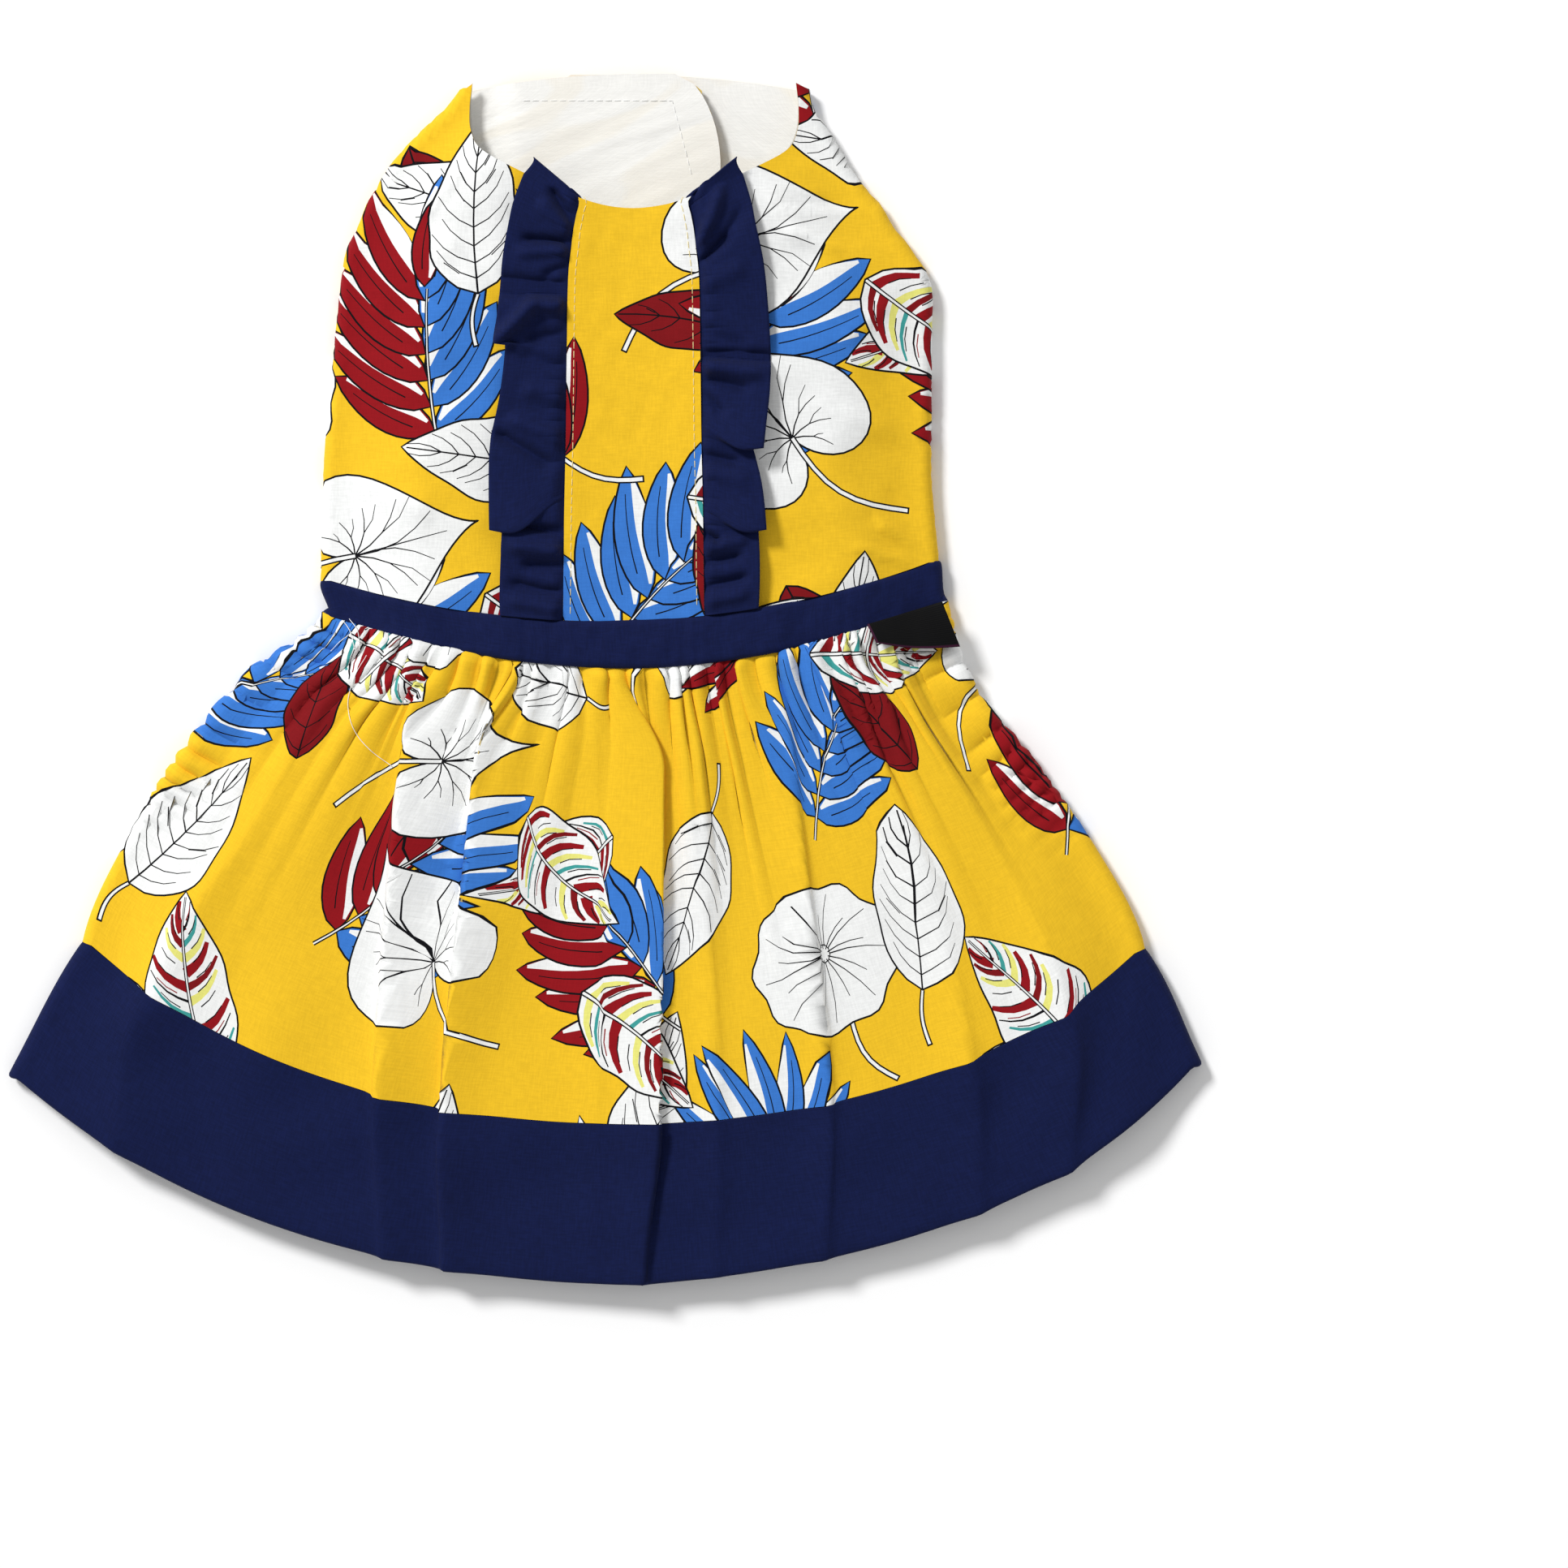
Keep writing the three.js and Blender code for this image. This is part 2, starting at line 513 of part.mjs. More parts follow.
// A ruffle: its inner edge is held under the placket, its outer edge stands free in waves.
function ruffleSurface(side, out, along) {
  const row = mix(NECKLINE_ROW, WAIST_ROW, along);
  const seam = panelEdge(side, row);
  const width = RUFFLE_WIDTH * track(RUFFLE_ROWS, side < 0 ? 'left' : 'right', along);
  const x = seam.x + side * (out * width - (1 - out) * RUFFLE_TUCK);
  const rise = RUFFLE_RISE * out * smooth(1 - along * 3);
  const wave = 0.5 - 0.5 * Math.cos(2 * Math.PI * RUFFLE_WAVES * along + side);
  const follow = track(BODICE_ROWS, 'waist', row) * (waistRise(x) - waistRise(seam.x));
  const z = BACK_HEIGHT + LAYER + RUFFLE_FRILL * wave * smooth(out * 1.4);
  return new THREE.Vector3(x, seam.y + rise + follow, z);
}

function addRuffle(name, side) {
  const end = 1 - CLEARANCE / (BODICE_LENGTH * 1.1);
  addPiece(name, clothWall({
    columns: [0, 0.2, 0.55, 1],
    rows: evenly(0, end, RUFFLE_WAVES * 4),
    surface: (out, along) => ruffleSurface(side, out, along),
    outward: -side,
  }), NAVY);
}

addRuffle('ruffle_left', -1);
addRuffle('ruffle_right', 1);

const SIDE_COLUMNS = [1.33, 1.67, 2, 2.25, 2.5, 2.75, 3];
const TOP_SHARES = evenly(-1, 1, GATHERS * 3);
const SKIRT_COLUMNS = [...SIDE_COLUMNS.map((column) => -column).reverse(), ...TOP_SHARES, ...SIDE_COLUMNS];
const skirtStart = CLEARANCE / SKIRT_LENGTH;

// The waistband is folded double. Over the placket and ruffles it rises above their ends.
function waistbandSurface(column, row) {
  const place = skirtSurface(column, row, false);
  const seamEdge = HALF_PLACKET + RUFFLE_WIDTH;
  const over = smooth((seamEdge + RISE_RUN / 2 - Math.abs(place.x)) / (RISE_RUN / 2));
  if (Math.abs(column) < 1) place.z += 2 * LAYER * over;
  return place;
}

addPiece('waistband', clothWall({
  columns: [...SIDE_COLUMNS.map((column) => -column).reverse(), ...evenly(-1, 1, 28), ...SIDE_COLUMNS],
  rows: [-1, -0.5, 0],
  surface: waistbandSurface,
  outward: -1,
  lift: (CLOTH - WAISTBAND_THICKNESS) / 2,
  wall: WAISTBAND_THICKNESS,
}), NAVY);

addPiece('skirt', clothWall({
  columns: SKIRT_COLUMNS,
  rows: [skirtStart, 0.07, 0.15, 0.26, 0.42, 0.6, 0.8, 1],
  surface: skirtSurface,
  outward: -1,
}), MUSTARD_PRINT);

// The hem band turns up inside over the end of the lining.
const hemStart = 1 + CLEARANCE / HEM_DEPTH;
function hemSurface(column, row) {
  if (row <= 2) return skirtSurface(column, row);
  const step = 1e-3;
  const across = skirtSurface(column + step, 2).sub(skirtSurface(column - step, 2));
  const along = skirtSurface(column, 2).sub(skirtSurface(column, 2 - step));
  const inward = across.clone().cross(along).normalize();
  const down = along.normalize();
  const radius = LAYER / 2;
  if (row <= 3) {
    const turn = (row - 2) * Math.PI;
    const place = skirtSurface(column, 2).addScaledVector(down, radius * Math.sin(turn));
    return place.addScaledVector(inward, radius * (1 - Math.cos(turn)));
  }
  const up = 2 - ((row - 3) * HEM_TURN_UP) / HEM_DEPTH;
  return skirtSurface(column, up).addScaledVector(inward, LAYER);
}

addPiece('hem_band', clothWall({
  columns: SKIRT_COLUMNS,
  rows: [hemStart, 2, 2.5, 3, 4],
  surface: hemSurface,
  outward: -1,
}), NAVY);

const liningEdge = 1 - LINING_SIDE_MARGIN / HALF_WAIST;
addPiece('skirt_lining', clothWall({
  columns: evenly(-liningEdge, liningEdge, 32),
  rows: [skirtStart, 0.2, 0.5, 0.75, 1, 2 - (HEM_TURN_UP + 1) / HEM_DEPTH],
  surface: (column, row) => skirtSurface(column, row, false),
  outward: -1,
  lift: -LAYER - CLEARANCE,
}), WHITE);

// A plain woven label hangs from the lower edge of the waistband, over the skirt.
function labelSurface(across, down) {
  const share = 1 - (LABEL_FROM_SIDE - across * LABEL_WIDTH) / HALF_WAIST;
  const top = skirtPlan(clamp(share, -1, 1), 0);
  const place = skirtSurface(clamp(share, -1, 1), down * 0.01, false);
  const reach = CLEARANCE + down * LABEL_DEPTH;
  return new THREE.Vector3(top.x + reach * 0.35, top.y - reach, place.z + GATHER_HEIGHT + LAYER);
}

addPiece('label', clothWall({
  columns: evenly(0, 0.86, 4),
  rows: evenly(0, 1, 2),
  surface: labelSurface,
  outward: -1,
}), BLACK);

// Touch-and-close fastening between the two flaps of each strap, hidden inside.
function addClosure(name, x, y) {
  const halfWidth = CLOSURE_WIDTH / 2 - CLOSURE_CORNER;
  const halfLength = CLOSURE_LENGTH / 2 - CLOSURE_CORNER;
  const outline = new THREE.Shape();
  outline.absarc(halfWidth, halfLength, CLOSURE_CORNER, 0, Math.PI / 2);
  outline.absarc(-halfWidth, halfLength, CLOSURE_CORNER, Math.PI / 2, Math.PI);
  outline.absarc(-halfWidth, -halfLength, CLOSURE_CORNER, Math.PI, Math.PI * 1.5);
  outline.absarc(halfWidth, -halfLength, CLOSURE_CORNER, Math.PI * 1.5, Math.PI * 2);
  const options = { depth: CLOSURE_THICKNESS, bevelEnabled: false, curveSegments: 3 };
  const closure = addPiece(name, new THREE.ExtrudeGeometry(outline, options), WHITE);
  closure.position.set(x, y, CLOSURE_LEVEL);
}

const chestMiddle = BODICE_LENGTH + NECK_DEPTH + CHEST_STRAP_RISE - CHEST_STRAP_DEPTH / 2;
addClosure('chest_closure', CHEST_OVERLAP_X, chestMiddle);
addClosure('belly_closure', BELLY_OVERLAP_X, BELLY_STRAP_DEPTH / 2 - BELLY_STRAP_DROP);

// The origin is under the middle of the whole dress, on what it lies on.
const bounds = new THREE.Box3().setFromObject(dress);
const middle = bounds.getCenter(new THREE.Vector3());
dress.position.set(-middle.x, -middle.y, -bounds.min.z);

export default dress;
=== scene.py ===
# %% [markdown]
# # A printed cotton dress for a small dog
# The dress lies flat with its back up: a bodice with a gathered ruffle on each side of a
# sewn-on centre panel, a narrow waistband, and a gathered skirt with a deep plain hem.
# Cloth is thin, bends one way at a time and never stretches much. So each piece starts as a
# flat drawing in millimetres and is then laid over a smooth surface, as a tailor lays a
# cut piece over the table.

# %% Frame and tools
import math
from functools import partial
import bpy
import numpy as np
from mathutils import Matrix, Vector
from mathutils.geometry import delaunay_2d_cdt


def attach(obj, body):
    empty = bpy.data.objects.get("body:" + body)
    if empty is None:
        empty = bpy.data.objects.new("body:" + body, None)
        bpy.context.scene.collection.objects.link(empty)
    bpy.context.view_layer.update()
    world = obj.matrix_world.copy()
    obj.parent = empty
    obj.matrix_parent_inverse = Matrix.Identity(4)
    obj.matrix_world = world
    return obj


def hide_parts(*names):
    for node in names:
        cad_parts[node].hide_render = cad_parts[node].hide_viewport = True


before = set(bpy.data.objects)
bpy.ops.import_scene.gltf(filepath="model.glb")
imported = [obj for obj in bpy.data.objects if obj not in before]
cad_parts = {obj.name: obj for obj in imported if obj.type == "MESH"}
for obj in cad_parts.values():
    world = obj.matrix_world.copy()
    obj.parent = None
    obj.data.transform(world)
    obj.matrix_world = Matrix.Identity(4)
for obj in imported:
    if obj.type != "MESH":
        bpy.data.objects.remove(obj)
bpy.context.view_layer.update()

# %% [markdown]
# ## Camera and floor
# The camera looks straight down through a long lens, so nothing is seen at a slant. The
# floor is matt white paper: it takes a soft shadow and throws light back into the folds.

# %% Camera
VIEW_WIDTH = 0.483
VIEW_CENTRE = (0.055, -0.0322)
CAMERA_HEIGHT = 2.4
SENSOR_WIDTH = 36


def add_object(name, data):
    """A new object in the scene that holds the data."""
    thing = bpy.data.objects.new(name, data)
    bpy.context.scene.collection.objects.link(thing)
    return thing


camera_data = bpy.data.cameras.new("camera_above")
camera_data.sensor_width = SENSOR_WIDTH
camera_data.lens = SENSOR_WIDTH * CAMERA_HEIGHT / VIEW_WIDTH
camera = add_object("camera_above", camera_data)
camera.location = (*VIEW_CENTRE, CAMERA_HEIGHT)
bpy.context.scene.camera = camera
bpy.context.scene.view_settings.view_transform = "Standard"
print("lens mm", round(camera_data.lens, 1))


# %% Colours and nodes
def linear(hex_colour):
    """An sRGB hex colour as the linear values that Blender wants."""
    values = [int(hex_colour[i:i + 2], 16) / 255 for i in (1, 3, 5)]
    return tuple(v / 12.92 if v <= 0.04045 else ((v + 0.055) / 1.055) ** 2.4 for v in values) + (1.0,)


def add_node(tree, kind, settings=None, inputs=None):
    """Adds one node. An input given as a socket is linked, anything else is its value."""
    node = tree.nodes.new(kind)
    for name, value in (settings or {}).items():
        setattr(node, name, value)
    for name, value in (inputs or {}).items():
        if isinstance(value, bpy.types.NodeSocket):
            tree.links.new(value, node.inputs[name])
        else:
            node.inputs[name].default_value = value
    return node


def new_material(name):
    """An empty material, and the tree to build in."""
    material = bpy.data.materials.new(name)
    material.use_nodes = True
    material.node_tree.nodes.clear()
    return material, material.node_tree


def give_surface(tree, height, strength, depth, inputs):
    """Ends a material: its relief from a height, its shader and the output."""
    raised = add_node(tree, "ShaderNodeBump", None, {
        "Height": height, "Strength": strength, "Distance": depth})
    shader = add_node(tree, "ShaderNodeBsdfPrincipled", None, {**inputs, "Normal": raised.outputs["Normal"]})
    add_node(tree, "ShaderNodeOutputMaterial", None, {"Surface": shader.outputs["BSDF"]})


# %% Floor and light
def make_floor():
    """White paper, a little uneven in tone, wide enough to fill every view."""
    material, tree = new_material("matt_white_paper")
    place = add_node(tree, "ShaderNodeTexCoord")
    noise = add_node(tree, "ShaderNodeTexNoise", None, {"Vector": place.outputs["Object"], "Scale": 900.0})
    give_surface(tree, noise.outputs["Fac"], 0.04, 0.0002, {
        "Base Color": linear("#ffffff"), "Roughness": 0.9})
    mesh = bpy.data.meshes.new("floor")
    mesh.from_pydata([(-8, -8, 0), (8, -8, 0), (8, 8, 0), (-8, 8, 0)], [], [(0, 1, 2, 3)])
    mesh.materials.append(material)
    floor = add_object("floor", mesh)


make_floor()

ROOM_LIGHT = 0.52
world = bpy.data.worlds.new("soft_room")
bpy.context.scene.world = world
world.use_nodes = True
world.node_tree.nodes["Background"].inputs["Color"].default_value = (1, 1, 1, 1)
world.node_tree.nodes["Background"].inputs["Strength"].default_value = ROOM_LIGHT


def soft_lamp(name, location, size, power):
    """A soft box that faces the middle of the dress."""
    data = bpy.data.lights.new(name, "AREA")
    data.shape = "DISK"
    data.size = size
    data.energy = power
    lamp = add_object(name, data)
    lamp.location = location
    lamp.rotation_euler = (-Vector(location)).to_track_quat("-Z", "Y").to_euler()


soft_lamp("key_upper_left", location=(-4.35, 4.5, 5.25), size=1.9, power=565)
print("floor, world and key lamp ready")

# %% [markdown]
# ## Sizes of the cut pieces
# The sizes are those of the solid model, in millimetres, so that cloth and solid agree. Only
# the shoulders are drawn a few millimetres narrower here, as the real ones lie.
# Rows run from the shoulders down to the hem, and a table gives how wide each one lies.

# %% Sizes
CLOTH = 1.0
CLEARANCE = 0.3
LAYER = CLOTH + CLEARANCE
CHEST_WIDTH = 187.5
NECK_WIDTH = 103.0
NECK_DEPTH = 40.0
BODICE_LENGTH = 126.0
PLACKET_WIDTH = 40.0
PLACKET_DIP = 1.2
PLACKET_SCOOP = 3.5
RUFFLE_WIDTH = 20.0
RUFFLE_TUCK = 1.0
RUFFLE_RISE = 12.0
CHEST_STRAP_DEPTH = 56.0
CHEST_STRAP_RISE = 2.5
CHEST_OVERLAP = 60.0
CHEST_OVERLAP_X = -3.5
CHEST_END_ROUND = 14.0
BELLY_STRAP_DEPTH = 66.0
BELLY_STRAP_DROP = 15.5
BELLY_OVERLAP = 83.0
BELLY_OVERLAP_X = -1.5
BELLY_END_ROUND = 3.0
LEG_EDGE_WIDTH = 4.5
STRAP_SETTLES = 54.0
WAIST_WIDTH = 192.5
WAISTBAND_DEPTH = 14.0
WAIST_CURVE = 18.0
WAIST_SAG = 8.5
SKIRT_LENGTH = 140.0
HEM_DEPTH = 48.5
HEM_WIDTH = 366.0
HEM_LEAN = 9.0
HEM_CURVE = 60.0
HEM_TURN_UP = 7.5
HEM_TUCKED_IN = 2.5
LINING_SIDE_MARGIN = 12.0
FOLD_RADIUS = 3.0
BACK_HEIGHT = 14.0
SKIRT_HEIGHT = 10.0
RISE_RUN = 30.0
RAMP_RUN = 10.0
RAMP_MARGIN = 1.5
GATHER_REACH = 0.22
INNER_FLAP_LEVEL = 4.6
SHIFT = np.array([8.983, 17.562, 0.0])

HALF_CHEST = CHEST_WIDTH / 2
HALF_NECK = NECK_WIDTH / 2
HALF_PLACKET = PLACKET_WIDTH / 2
HALF_WAIST = WAIST_WIDTH / 2
LOW = CLOTH / 2
FOLD_TOP = LOW + 2 * FOLD_RADIUS


# %% Tables
def table(names, rows):
    """A table by column name, so that a curve can be drawn through one column."""
    data = np.array(rows, float)
    return {name: data[:, i] for i, name in enumerate(names.split())}


BODICE_ROWS = table("at fold_down edge_down out_left out_right neck placket waist", [
    (0, 0.06, 0.01, 0.03, 0.045, 0.965, 0, 0),
    (1, 0.23, 0.2, 0.145, 0.085, 0.98, 0, 0),
    (2, 0.42, 0.385, 0.335, 0.2, 0.97, 0, 0),
    (3, 0.62, 0.54, 0.515, 0.315, 0.9, 0, 0),
    (4, 0.81, 0.71, 0.64, 0.43, 0.66, 0, 0),
    (5, 1.01, 0.9, 0.755, 0.605, 0, 0.88, 0),
    (6, 1.1, 1.07, 0.87, 0.79, 0, 0.94, 0),
    (7, 1.18, 1.16, 0.91, 0.93, 0, 1, 0),
    (8, 1.31, 1.31, 0.95, 0.935, 0, 1.02, 0.05),
    (9, 1.46, 1.46, 0.99, 0.935, 0, 1.03, 0.15),
    (10, 1.58, 1.58, 1.02, 0.935, 0, 1.04, 0.3),
    (11, 1.72, 1.72, 1.04, 0.935, 0, 1.06, 0.5),
    (12, 1.86, 1.86, 1.05, 0.96, 0, 1.07, 0.75),
    (13, 2, 2, 1.055, 0.99, 0, 1.08, 1),
])
NECKLINE_ROW = 5
CHEST_STRAP_LAST = 7
BELLY_STRAP_FIRST = 10
WAIST_ROW = 13
TAB_LAST = 15

SKIRT_ROWS = table("at flare_left flare_right mid_left mid_right rise_left rise_mid_left rise_mid_right"
                   " rise_right curve under", [
    (-1, 0, -0.03, 0.5, 0.5, 0.69, 0.12, 0.28, 1.01, 0, 0.24),
    (0, 0, 0, 0.5, 0.5, 0.86, 0.22, 0.31, 1.1, 0, 0.24),
    (0.25, 0.24, 0.09, 0.5, 0.55, 1, 0.25, 0.28, 0.98, 0.29, 0.42),
    (0.5, 0.47, 0.34, 0.51, 0.56, 1.03, 0.26, 0.27, 1.05, 0.46, 0.48),
    (0.75, 0.64, 0.58, 0.54, 0.565, 1.08, 0.27, 0.27, 1.1, 0.63, 0.49),
    (1, 0.765, 0.78, 0.56, 0.57, 1.04, 0.26, 0.27, 1, 0.82, 0.44),
    (2, 1, 1, 0.56, 0.6, 1.05, 0.28, 0.35, 1.11, 1, 0.4),
])

RUFFLE_ROWS = table("at left right", [
    (0, 0.72, 0.78), (0.12, 0.98, 0.96), (0.3, 1, 1.04), (0.48, 1.08, 1),
    (0.62, 1.12, 0.84), (0.8, 1.02, 0.92), (1, 0.9, 0.78),
])


def mix(a, b, share):
    """A value between two others."""
    return a + (b - a) * share


def side_of(x):
    """-1 on the left, 1 on the right."""
    return np.where(x < 0, -1.0, 1.0)


def smooth(share):
    """A step from 0 to 1 with soft ends."""
    s = np.clip(share, 0, 1)
    return s * s * (3 - 2 * s)


def bump(away, power=2.0):
    """A single ridge, 1 high. A lower power gives it a sharper crest."""
    return np.exp(-np.abs(away) ** power)


def curve_through(places, values, at):
    """A smooth curve through a few values."""
    places = np.asarray(places, float)
    values = np.asarray(values, float)
    last = len(places) - 1
    at = np.clip(at, places[0], places[-1])
    i = np.clip(np.searchsorted(places, at, side="left") - 1, 0, last - 1)
    ahead = np.minimum(np.arange(last + 1) + 1, last)
    behind = np.maximum(np.arange(last + 1) - 1, 0)
    slope = (values[ahead] - values[behind]) / (places[ahead] - places[behind])
    span = places[i + 1] - places[i]
    s = (at - places[i]) / span
    start = values[i] * (1 + 2 * s) * (1 - s) ** 2
    end = values[i + 1] * s * s * (3 - 2 * s)
    return start + end + span * s * (1 - s) * ((1 - s) * slope[i] - s * slope[i + 1])


def track(rows, column, at):
    """The curve through one column of a table."""
    return curve_through(rows["at"], rows[column], at)


def ripple(u, v, size, seed):
    """Low uneven waves of about one size, the same on each run, from -1 to 1."""
    chance = np.random.default_rng(seed)
    total = 0
    for _ in range(7):
        turn = chance.uniform(0, math.tau)
        step = math.tau / (size * chance.uniform(0.7, 1.6))
        total = total + np.sin(step * (u * math.cos(turn) + v * math.sin(turn)) + chance.uniform(0, math.tau))
    return total / 4


def crease(x, y, start, end, height, width):
    """A ridge (or with a negative height a dent) along a line that fades at both ends."""
    along = np.subtract(end, start)
    length = np.hypot(*along)
    away_x, away_y = x - start[0], y - start[1]
    share = (away_x * along[0] + away_y * along[1]) / length ** 2
    off = (away_y * along[0] - away_x * along[1]) / length
    inside = smooth(share * 4) * smooth((1 - share) * 4)
    return height * bump(off / width) * inside


# %% [markdown]
# ## The surface of the skirt
# The real skirt is one long strip, gathered into the waist seam, laid down and patted into
# folds. Its surface has three parts: how the strip lies on the floor, how high each spot
# stands, and the folds, which push the cloth up and to one side. Where the push is wider
# than the fold, the cloth laps over itself, as the deep pleat in the middle does.

# %% Skirt lay
def over_half(half, side, share):
    s = np.abs(share)
    return s * (side - (2 * side - 4 * half) * (1 - s))


def skirt_drop(row):
    above = WAISTBAND_DEPTH * (1 + row)
    cloth = WAISTBAND_DEPTH + SKIRT_LENGTH * row
    hem = WAISTBAND_DEPTH + SKIRT_LENGTH + HEM_DEPTH * (row - 1)
    return np.where(row < 0, above, np.where(row < 1, cloth, hem))


def skirt_plan(share, row):
    """Where a share of the half width lies: x, y and the half width of that row."""
    left = share < 0

    def pick(name):
        return np.where(left, track(SKIRT_ROWS, name + "_left", row), track(SKIRT_ROWS, name + "_right", row))

    half_hem = HEM_WIDTH / 2 - np.sign(share) * HEM_LEAN
    half = HALF_WAIST + (half_hem - HALF_WAIST) * pick("flare") - FOLD_RADIUS
    curve = mix(WAIST_CURVE, HEM_CURVE, track(SKIRT_ROWS, "curve", row))
    x = np.sign(share) * half * over_half(pick("mid"), 1, share)
    y = curve * over_half(pick("rise_mid"), pick("rise"), share) - skirt_drop(row)
    return x, y, half


def under_sag(share, row):
    inward = (1 - np.abs(share)) / track(SKIRT_ROWS, "under", row)
    return WAIST_SAG * smooth(1 - row / GATHER_REACH) * smooth(inward * 2)


# %% Skirt folds
# x of each fold line at the waist, half way, at the top of the hem band and at the hem.
# height and width in mm, lean: how far its crest is pushed over, + to the right.
SKIRT_FOLDS = table("waist middle seam hem height width lean", [
    (-79, -112, -146, -158, 1.6, 6, -2),
    (-60, -68, -73, -73, 2.6, 5, -6),
    (-36, -44, -51, -53, 3.7, 5, -8.2),
    (-16, -15, -15, -15, 0.9, 4, 3.5),
    (-3.5, -3.8, -4.2, -5, 3.4, 5, 12.5),
    (17, 21, 24, 24, 1.5, 4, 1.5),
    (40, 49, 56, 56, 2.1, 4, 4),
    (50, 82, 100, 104, 1.9, 5, 3),
    (58, 99, 128, 131, 2.5, 6, 4.5),
])
FOLD_STATIONS = [0, 0.5, 1, 2]

# Along the side folds: how high the puckers are, how far they reach, and how far in the
# other folds have their full height. Then how uneven the cloth is between them. In mm.
PUCKERS_LEFT = 3.0
PUCKERS_RIGHT = 2.0
PUCKER_REACH = 11.0
CALM_EDGE = 13.0
UNEVEN = 0.8

GATHERS = 40
gather_chance = np.random.default_rng(7)
gather_sizes = gather_chance.uniform(0.5, 1.5, GATHERS)
gather_edges = np.concatenate([[0], np.cumsum(gather_sizes)])
gather_edges = gather_edges / gather_edges[-1] * 2 - 1
gather_heights = gather_chance.uniform(1.8, 4.8, GATHERS)
gather_reaches = gather_chance.uniform(0.08, 0.36, GATHERS)
gather_leans = gather_chance.uniform(-3.4, 3.4, GATHERS)


def skirt_folds(share, row, x, half):
    """How far the folds lift the cloth and push it to the side."""
    place = np.clip(np.searchsorted(gather_edges, share) - 1, 0, GATHERS - 1)
    width = gather_edges[place + 1] - gather_edges[place]
    within = np.clip((share - gather_edges[place]) / width, 0, 1)
    fade = np.exp(-(np.clip(row, 0, 3) / gather_reaches[place]) ** 1.3) * smooth(row / 0.035 + 0.3)
    profile = np.sin(math.pi * within) ** 0.65 * fade
    lift = gather_heights[place] * profile
    push = gather_leans[place] * profile
    opened = smooth(row / GATHER_REACH) * (1 - 0.35 * smooth(row - 1))
    for k in range(len(SKIRT_FOLDS["height"])):
        stations = [SKIRT_FOLDS[name][k] for name in ("waist", "middle", "seam", "hem")]
        line = curve_through(FOLD_STATIONS, stations, row)
        ridge = bump((x - line) / SKIRT_FOLDS["width"][k], 1.45) * opened
        lift = lift + SKIRT_FOLDS["height"][k] * ridge
        push = push + SKIRT_FOLDS["lean"][k] * ridge
    lift = lift + UNEVEN * opened * ripple(share * 150, row * 60, 34, 3)
    from_side = (1 - np.abs(share)) * half
    side = smooth(from_side / CALM_EDGE)
    puckers = np.abs(np.sin(row * 54 + 2.5 * np.sin(row * 11))) ** 0.7
    puckers = puckers * smooth(row / 0.06) * smooth((0.8 - row) / 0.35)
    puckers = puckers * bump(from_side / PUCKER_REACH) * np.where(share < 0, PUCKERS_LEFT, PUCKERS_RIGHT)
    return lift * side + puckers, push * side


def side_out(share_side, row):
    """The way out from the skirt's side fold, square to the fold."""
    x0, y0, _ = skirt_plan(share_side, row - 0.05)
    x1, y1, _ = skirt_plan(share_side, row + 0.05)
    length = np.hypot(x1 - x0, y1 - y0)
    return share_side * (y0 - y1) / length, share_side * (x1 - x0) / length


def skirt_place(column, row, folded=True):
    """A place on the skirt. column: -1 to 1 on top, 1 to 2 round the side, 2 to 3 under."""
    column, row = np.broadcast_arrays(np.asarray(column, float), np.asarray(row, float))
    side = side_of(column)
    share = np.clip(column, -1, 1)
    x, y, half = skirt_plan(share, row)
    height = mix(BACK_HEIGHT, SKIRT_HEIGHT, np.clip(row / 2, 0, 1))
    z = mix(FOLD_TOP, height, smooth((1 - np.abs(share)) * half / RISE_RUN))
    if folded:
        lift, push = skirt_folds(share, row, x, half)
        x = x + push
        z = z + lift
    top = np.stack([x, y, z], -1)
    turn = np.clip(np.abs(column) - 1, 0, 1) * math.pi
    out_x, out_y = side_out(side, row)
    side_x, side_y, _ = skirt_plan(side, row)
    edge_pucker = skirt_folds(side, row, side_x, half)[0] if folded else 0.0
    radius = FOLD_RADIUS + edge_pucker * np.cos(turn / 2) ** 2
    round_z = LOW + FOLD_RADIUS + radius * np.cos(turn)
    reach = radius * np.sin(turn)
    around = np.stack([side_x + out_x * reach, side_y + out_y * reach, round_z], -1)
    inward = np.clip(np.abs(column) - 2, 0, 1)
    in_share = side * (1 - inward * track(SKIRT_ROWS, "under", row))
    under_x, under_y, _ = skirt_plan(in_share, row)
    tucked = HEM_TUCKED_IN * np.clip(row, 0, 2) * smooth(inward * 2)
    under_y = under_y + tucked - under_sag(in_share, row)
    under = np.stack([under_x, under_y, np.full_like(under_x, LOW)], -1)
    which = np.abs(column)[..., None]
    return np.where(which <= 1, top, np.where(which <= 2, around, under))


print("gathers", GATHERS, "main folds", len(SKIRT_FOLDS["height"]))

# %% [markdown]
# ## The surface of the bodice
# Each side of the bodice is one cloth: up from the seam, over the back, round the side
# fold and under, where it ends in two straps. Laid flat it has a place across, u, and a
# place along, v. Up to the fold u is simply x; past the fold it runs round and back.

# %% Bodice lay
def waist_share(x):
    side = side_of(x)
    return np.clip(x / skirt_plan(side, np.full_like(side, -1))[2], -1, 1)


def waist_rise(x):
    share = waist_share(np.asarray(x, float))
    return skirt_plan(share, np.full_like(share, -1))[1]


def waist_under(side, x):
    inmost = 1 - track(SKIRT_ROWS, "under", -1.0)
    share = side * np.maximum(side * waist_share(x), inmost)
    return skirt_plan(share, np.full_like(share, -1))[1] - under_sag(share, -1.0)


